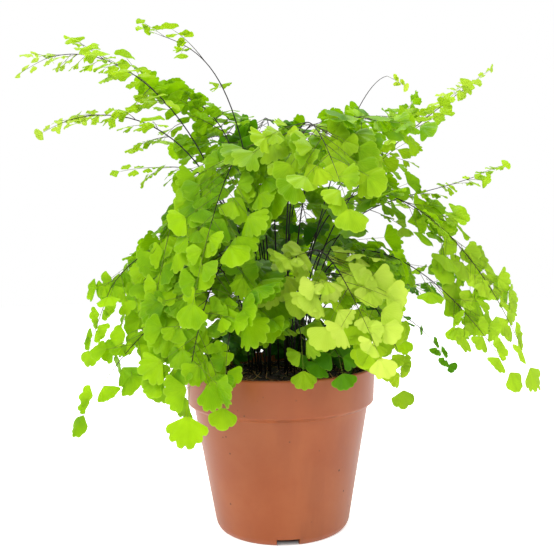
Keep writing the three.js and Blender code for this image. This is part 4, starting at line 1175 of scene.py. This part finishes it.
def leafSheets(g):
    # Leaflets as bent fans. s runs from -1 to 1 across the fan and r from the foot to the margin.
    # The margin lies at 1 - cornerDrop s^2 of the size, cut back between round lobes of
    # |sin(pi n (s + 1) / 2)|^roundness. The sheet curls down by r^2 times a share that grows with
    # s^2, waves along the margin, and rolls and pitches a little about its own foot.
    v = leafShape
    s = np.linspace(-1, 1, v["across"] + 1)[None, None, :]
    r = np.array(v["rings"])[None, :, None]
    i, k = g["index"] * 7 + g["key"], g["k"]
    size, turn, half = (wide[:, None, None] for wide in
                        (g["size"], np.radians(g["turn"]), np.radians(g["half"])))

    def one(c, low=0.0, high=1.0):
        return mix(low, high, chance(i, k, c))[:, None, None]

    level = (g["size"] - v["lobesFrom"]) / v["lobeSize"] + chance(i, k, 31) * v["lobeChance"]
    lobes = np.array(v["lobes"])[np.clip(level, 0, len(v["lobes"]) - 1).astype(int)][:, None, None]
    place = lobes * (s + 1) / 2
    lobe = np.abs(np.sin(np.pi * place)) ** v["roundness"]
    uneven = chance(i[:, None, None] + 3, k[:, None, None], 50 + np.floor(np.minimum(place, lobes - 0.001)))
    cut = one(32, *v["lobeDepth"]) * (1 - lobe)
    margin = (1 - v["cornerDrop"] * s ** 2) * (1 - cut) * (1 - v["unevenDepth"] * uneven)
    reach = v["plump"] * r * mix(1.0, margin, r ** 2)
    angle = half * (s + v["warp"] * (one(33) - 0.5) * np.sin(np.pi * s))
    across = size * reach * np.sin(angle)
    along = size * (v["stalk"] + (1 - v["stalk"]) * reach * np.cos(angle))
    lift = -size * one(34, *v["curl"]) * r ** 2 * mix(v["curlInside"], 1, s ** 2)
    lift -= g["under"][:, None, None] * r
    lift += size * v["wave"] * r ** 2 * np.sin(np.pi * (one(35, *v["waves"]) * s + 2 * one(36)))
    lift += v["roll"] * (one(37) - 0.5) * across + v["pitch"] * (one(38) - 0.5) * along
    x = across * np.cos(turn) + along * np.sin(turn)
    y = g["y"][:, None, None] + along * np.cos(turn) - across * np.sin(turn)
    points = onBranch(frameOf(g, 2), x, y, lift)
    uv = np.stack(np.broadcast_arrays((s + 1) / 2, r + 0 * size), -1)
    count, rings, columns = points.shape[:3]
    ids = np.arange(rings * columns).reshape(rings, columns)
    quads = np.stack([ids[:-1, :-1], ids[1:, :-1], ids[1:, 1:], ids[:-1, 1:]], -1).reshape(1, -1, 4)
    quads = (quads + (np.arange(count) * rings * columns)[:, None, None]).reshape(-1, 4)
    tone = np.repeat(chance(i, k, 39), rings * columns)
    return points.reshape(-1, 3), uv.reshape(-1, 2), quads, tone


def ribPaths(one, frond):
    # The line of each branch, shifted by (1 - t)^2 to leave the stem's smooth curve. The end
    # branch goes on from that curve as it is.
    t = np.linspace(0, 1, ribShape["steps"])
    paths = []
    for b in one["branches"]:
        path = onBranch(b, 0 * t, t * b["length"], 0 * t)
        if b["share"] < 1:
            foot = through(one["stations"], alongStem(frond, b["share"]))
            path = path + (foot - b["root"]) * ((1 - t) ** 2)[:, None]
        paths.append(path)
    return np.array(paths)


def stalkPaths(g):
    # From the rib to the foot of each leaflet's fan.
    t = np.linspace(0, 1, ribShape["stalkSteps"])[None, :]
    turn = np.radians(g["turn"])[:, None]
    reach = g["size"][:, None] * (leafShape["stalk"] + ribShape["stalkPast"]) * t
    x, y = reach * np.sin(turn), g["y"][:, None] + reach * np.cos(turn)
    return onBranch(frameOf(g, 1), x, y, 0 * reach)


def innerShade(middles):
    # Painted shade: 1 for a leaflet deep inside the plant, where shade falls, falling evenly
    # to 0 with its reach from the axis and with its height.
    v = shadeShape
    reach = np.hypot(middles[:, 0], middles[:, 1])
    return (np.clip((v["reach"] - reach) / v["reachSoft"], 0, 1)
            * np.clip((v["height"] - middles[:, 2]) / v["heightSoft"], 0, 1))


def stemTube(frond, one):
    # The stem's smooth line with its radii, its sides and how green it is at each step.
    v = stemShape
    t = np.linspace(0, alongStem(frond, 1), v["steps"])
    thin = v["tip"] * mix(v["smallest"], 1, frond["leaf"] / v["fullLeaf"])
    radii = mix(v["foot"], thin, (t / t[-1]) ** v["taper"])
    return through(one["stations"], t)[None], radii[None], v["sides"], (t * v["greenAtTip"] / t[-1])[None]


def makeFrond(frond, one, leafMaterials, stemMaterial):
    name = "fineFrond" + "".join(word.capitalize() for word in frond["name"].split("_"))
    aging = agingOf["own"].get(frond["name"], agingOf[kindOf(frond)])
    piece = leafyMesh(name, one["branches"], ribPaths(one, frond), [stemTube(frond, one)],
                      [stemMaterial, leafMaterials[frond["tone"]]], aging)
    settle(piece, "frond_" + frond["name"], "leaf_" + frond["tone"])
    return len(piece.data.polygons)


def leafyMesh(name, branches, ribs, kinds, materials, aging):
    # One mesh of leaflet sheets, their stalks, the ribs and other kinds of tubes. Each point has
    # its leaflet's tone, its age or a tube's green, and its painted shade for how deep inside it is.
    v = ribShape
    g = gather(branches)
    sheet, uv, quads, tone = leafSheets(g)
    each = len(sheet) // len(g["y"])
    # painted shade of each leaflet, by how deep inside the plant it sits
    inner = np.repeat(innerShade(sheet.reshape(-1, each, 3).mean(1)), each)
    blocks = [(sheet, uv, tone, np.repeat(g["share"], each) * aging, inner, [(quads, 1)])]
    share, length = (np.array([b[key] for b in branches])[:, None] for key in ("share", "length"))
    t = np.linspace(0, 1, v["steps"])
    ribRadii = mix(v["foot"] * np.clip(length / v["fullLength"], *v["range"]), v["tip"], t)
    stalks = stalkPaths(g)
    stalkRadii = v["stalkRadius"] * np.clip(g["size"] / v["fullLeaf"], *v["range"])
    stalkGreen = mix(v["greenStalk"], 1.0, g["share"])
    evenly = np.ones((1, v["stalkSteps"]))
    kinds = kinds + [(ribs, ribRadii, v["sides"], mix(v["greenAtFoot"] + v["greenGain"] * share, 1.0, t)),
                     (stalks, stalkRadii[:, None] * evenly, v["stalkSides"], stalkGreen[:, None] * evenly)]
    for paths, widths, sides, green in kinds:
        points, sideQuads, caps = tubes(paths, widths, sides)
        ends = np.stack([green[:, 0], green[:, -1]], 1)
        green = np.concatenate([np.repeat(green, sides, 1), ends], 1).ravel()
        none = np.zeros(len(points))
        blocks.append((points, np.zeros((len(points), 2)), none, green, none, [(sideQuads, 0), (caps, 0)]))
    starts = np.cumsum([0] + [len(block[0]) for block in blocks])
    faceSets = [(faces + start, index) for block, start in zip(blocks, starts) for faces, index in block[5]]
    points, uv, tone, age, inner = (np.concatenate([block[i] for block in blocks]) for i in range(5))
    return addMesh(name, points, faceSets, materials, uv, {"tone": tone, "age": age, "inner": inner})


leafFinish = {  # of each kind of leaf: its darker and lighter green, its colour at a frond's tip and what light turns on the way through; the share let through; how strongly painted shade darkens leaves deep inside
    # what light turns on the way through; the share let through; how far leaves deep inside darken
    "fresh": {"dark": linear(60, 116, 1), "light": linear(168, 210, 12), "tip": linear(180, 208, 56),
              "through": linear(148, 202, 1), "share": 0.36, "inner": 0.85},
    "bright": {"dark": linear(94, 144, 4), "light": linear(182, 216, 34), "tip": linear(172, 190, 82),
               "through": linear(158, 196, 16), "share": 0.34, "inner": 0.5},
    "deep": {"dark": linear(46, 104, 2), "light": linear(104, 158, 6), "tip": linear(110, 160, 10),
             "through": linear(92, 156, 2), "share": 0.32, "inner": 0.85},
    "pale": {"dark": linear(154, 190, 36), "light": linear(214, 232, 100), "tip": linear(214, 228, 112),
             "through": linear(190, 216, 44), "share": 0.4, "inner": 0.25},
}
leafLook = {
    # the last colour here is the dark green of the painted shade deep inside the plant
    "edge": linear(176, 208, 70), "foot": linear(120, 140, 30), "inner": linear(26, 78, 3),
    "roughness": 0.46, "specular": 0.12, "bump": 0.35, "bumpDepth": 0.0004,
    "vein": 0.3, "veins": 9.0, "veinWidth": 0.16,  # veins fork to twice as many
    "mottling": 260.0, "patches": 60.0,
}
stemFinish = {
    "old": linear(16, 9, 8), "ripe": linear(46, 26, 18), "young": linear(96, 116, 26),
    "roughness": 0.42, "specular": 0.2, "bands": 240.0,
}


def leafMaterial(name, v):
    f = Finish(name)
    look = leafLook
    where = f.node("ShaderNodeUVMap", {"uv_map": "growth"})
    across, reach = (f.node("ShaderNodeSeparateXYZ", inputs={0: where}, out=i) for i in (0, 1))

    def veins(count):  # thin bright lines between even gaps
        return 1 - ((across * count).math("FRACT") - 0.5).math("ABSOLUTE").step(0.0, look["veinWidth"])

    forked = reach.step(0.35, 0.6)
    fan = veins(look["veins"]) * (1 - forked) + veins(2 * look["veins"]) * forked
    tone, age = f.attribute("tone"), f.attribute("age")
    # painted shade: leaflets deep inside the plant darken towards a dark green
    inner = f.attribute("inner") * v["inner"]
    mottled = f.noise(look["mottling"], 3.0, 0.6)
    broad = f.noise(look["patches"], 2.0, 0.5)
    light = (tone * 0.55 + mottled * 0.35 + broad.step(0.3, 0.7) * 0.3 + age * 0.2 - 0.2).math("MAXIMUM", 0.0)
    colour = f.blend(light.math("MINIMUM", 1.0), v["dark"], v["light"])
    colour = f.blend(age.step(0.35, 1.0) * 0.6, colour, v["tip"])
    colour = f.blend(fan * look["vein"] * 0.8, colour, v["light"])
    colour = f.blend(reach.step(0.9, 1.0) * 0.35, colour, look["edge"])
    colour = f.blend((1 - reach.step(0.05, 0.22)) * 0.5, colour, look["foot"])
    colour = f.blend(inner, colour, look["inner"])
    f.feed(Base_Color=colour, Roughness=look["roughness"] + mottled * 0.16 - 0.06)
    f.feed(Specular_IOR_Level=look["specular"])
    f.bump(fan * 0.6 + mottled * 0.7, look["bump"], look["bumpDepth"])
    glow = f.node("ShaderNodeBsdfTranslucent", inputs={"Color": (*v["through"], 1)})
    # the painted shade also lets less light through the leaflets deep inside
    through = v["share"] * (1 - inner * 0.75)
    sheet = f.node("ShaderNodeMixShader", inputs={0: through, 1: Val(f.tree, f.shader.outputs[0]), 2: glow})
    f.tree.links.new(sheet.socket, f.output.inputs["Surface"])
    return f.material


def wiryMaterial():
    f = Finish("wiryStem")
    v = stemFinish
    age = f.attribute("age")
    bands = f.noise(v["bands"], 3.0, 0.6)
    colour = f.blend(age.step(0.35, 0.72), v["old"], v["ripe"])
    colour = f.blend((age + bands * 0.2).step(0.72, 1.02), colour, v["young"])
    f.feed(Base_Color=colour, Roughness=v["roughness"] + bands * 0.2 - 0.05, Specular_IOR_Level=v["specular"])
    f.bump(bands, 0.25, 0.0002)
    return f.material


def makeFronds():
    leafMaterials = {tone: leafMaterial("leaf" + tone.capitalize(), v) for tone, v in leafFinish.items()}
    stemMaterial = wiryMaterial()
    t = np.linspace(ribShape["belowRoot"], 1, ribShape["steps"])
    paths = np.array([onBranch(b, 0 * t, t * b["length"], 0 * t) for b in sprigs])
    low = leafyMesh("lowSprigs", sprigs, paths, [], [stemMaterial, leafMaterials["deep"]], agingOf["full"])
    settle(low, None, "leaf_deep")
    return sum(makeFrond(frond, one, leafMaterials, stemMaterial) for frond, one in zip(fronds, laid))


print("fronds made,", makeFronds(), "faces")


floorLook = {
    "radius": 2.2, "sides": 64, "colour": (0.93, 0.93, 0.93), "faint": (0.88, 0.88, 0.88),
    "roughness": 0.85, "specular": 0.1, "glow": 0.66,
    # painted shadow under the pot: its colour, how far it reaches, and the radii where the glow comes back
    "shadowUnderPot": (0.1, 0.12, 0.13), "shadeFrom": (0.03, 0.0425),  # metres from the middle
    "notchGlow": (0.034, 0.037), "openGlow": (0.0396, 0.0415), "notchShare": 0.16,
}


def makeFloor():
    # A wide disc that glows white, but for a painted shadow under the pot that reaches just past its foot, a
    # little paler at its notches.
    v = floorLook
    turn = np.linspace(0, 2 * np.pi, v["sides"], endpoint=False)
    rim = np.stack([np.cos(turn), np.sin(turn), 0 * turn], -1) * v["radius"] * 1000
    f = Finish("paleFloor")
    floor = addMesh("studioFloor", rim, [(np.arange(v["sides"])[None], 0)], [f.material])
    away = f.node("ShaderNodeVectorMath", {"operation": "LENGTH"}, {0: f.place()}, out="Value")
    # the glow is cut off under the pot as painted shadow, with a faint share just inside the foot where the
    # notches show it
    lit = away.step(*v["notchGlow"]) * v["notchShare"] + away.step(*v["openGlow"]) * (1 - v["notchShare"])
    f.feed(Emission_Color=f.blend(lit, (0, 0, 0), (1, 1, 1)), Emission_Strength=v["glow"])
    colour = f.blend(f.noise(3.0) * 0.02, v["colour"], v["faint"])
    # painted shadow: the floor's colour darkens under the pot
    colour = f.blend((1 - away.step(*v["shadeFrom"])) * 0.7, colour, v["shadowUnderPot"])
    f.feed(Base_Color=colour, Roughness=v["roughness"], Specular_IOR_Level=v["specular"])


makeFloor()
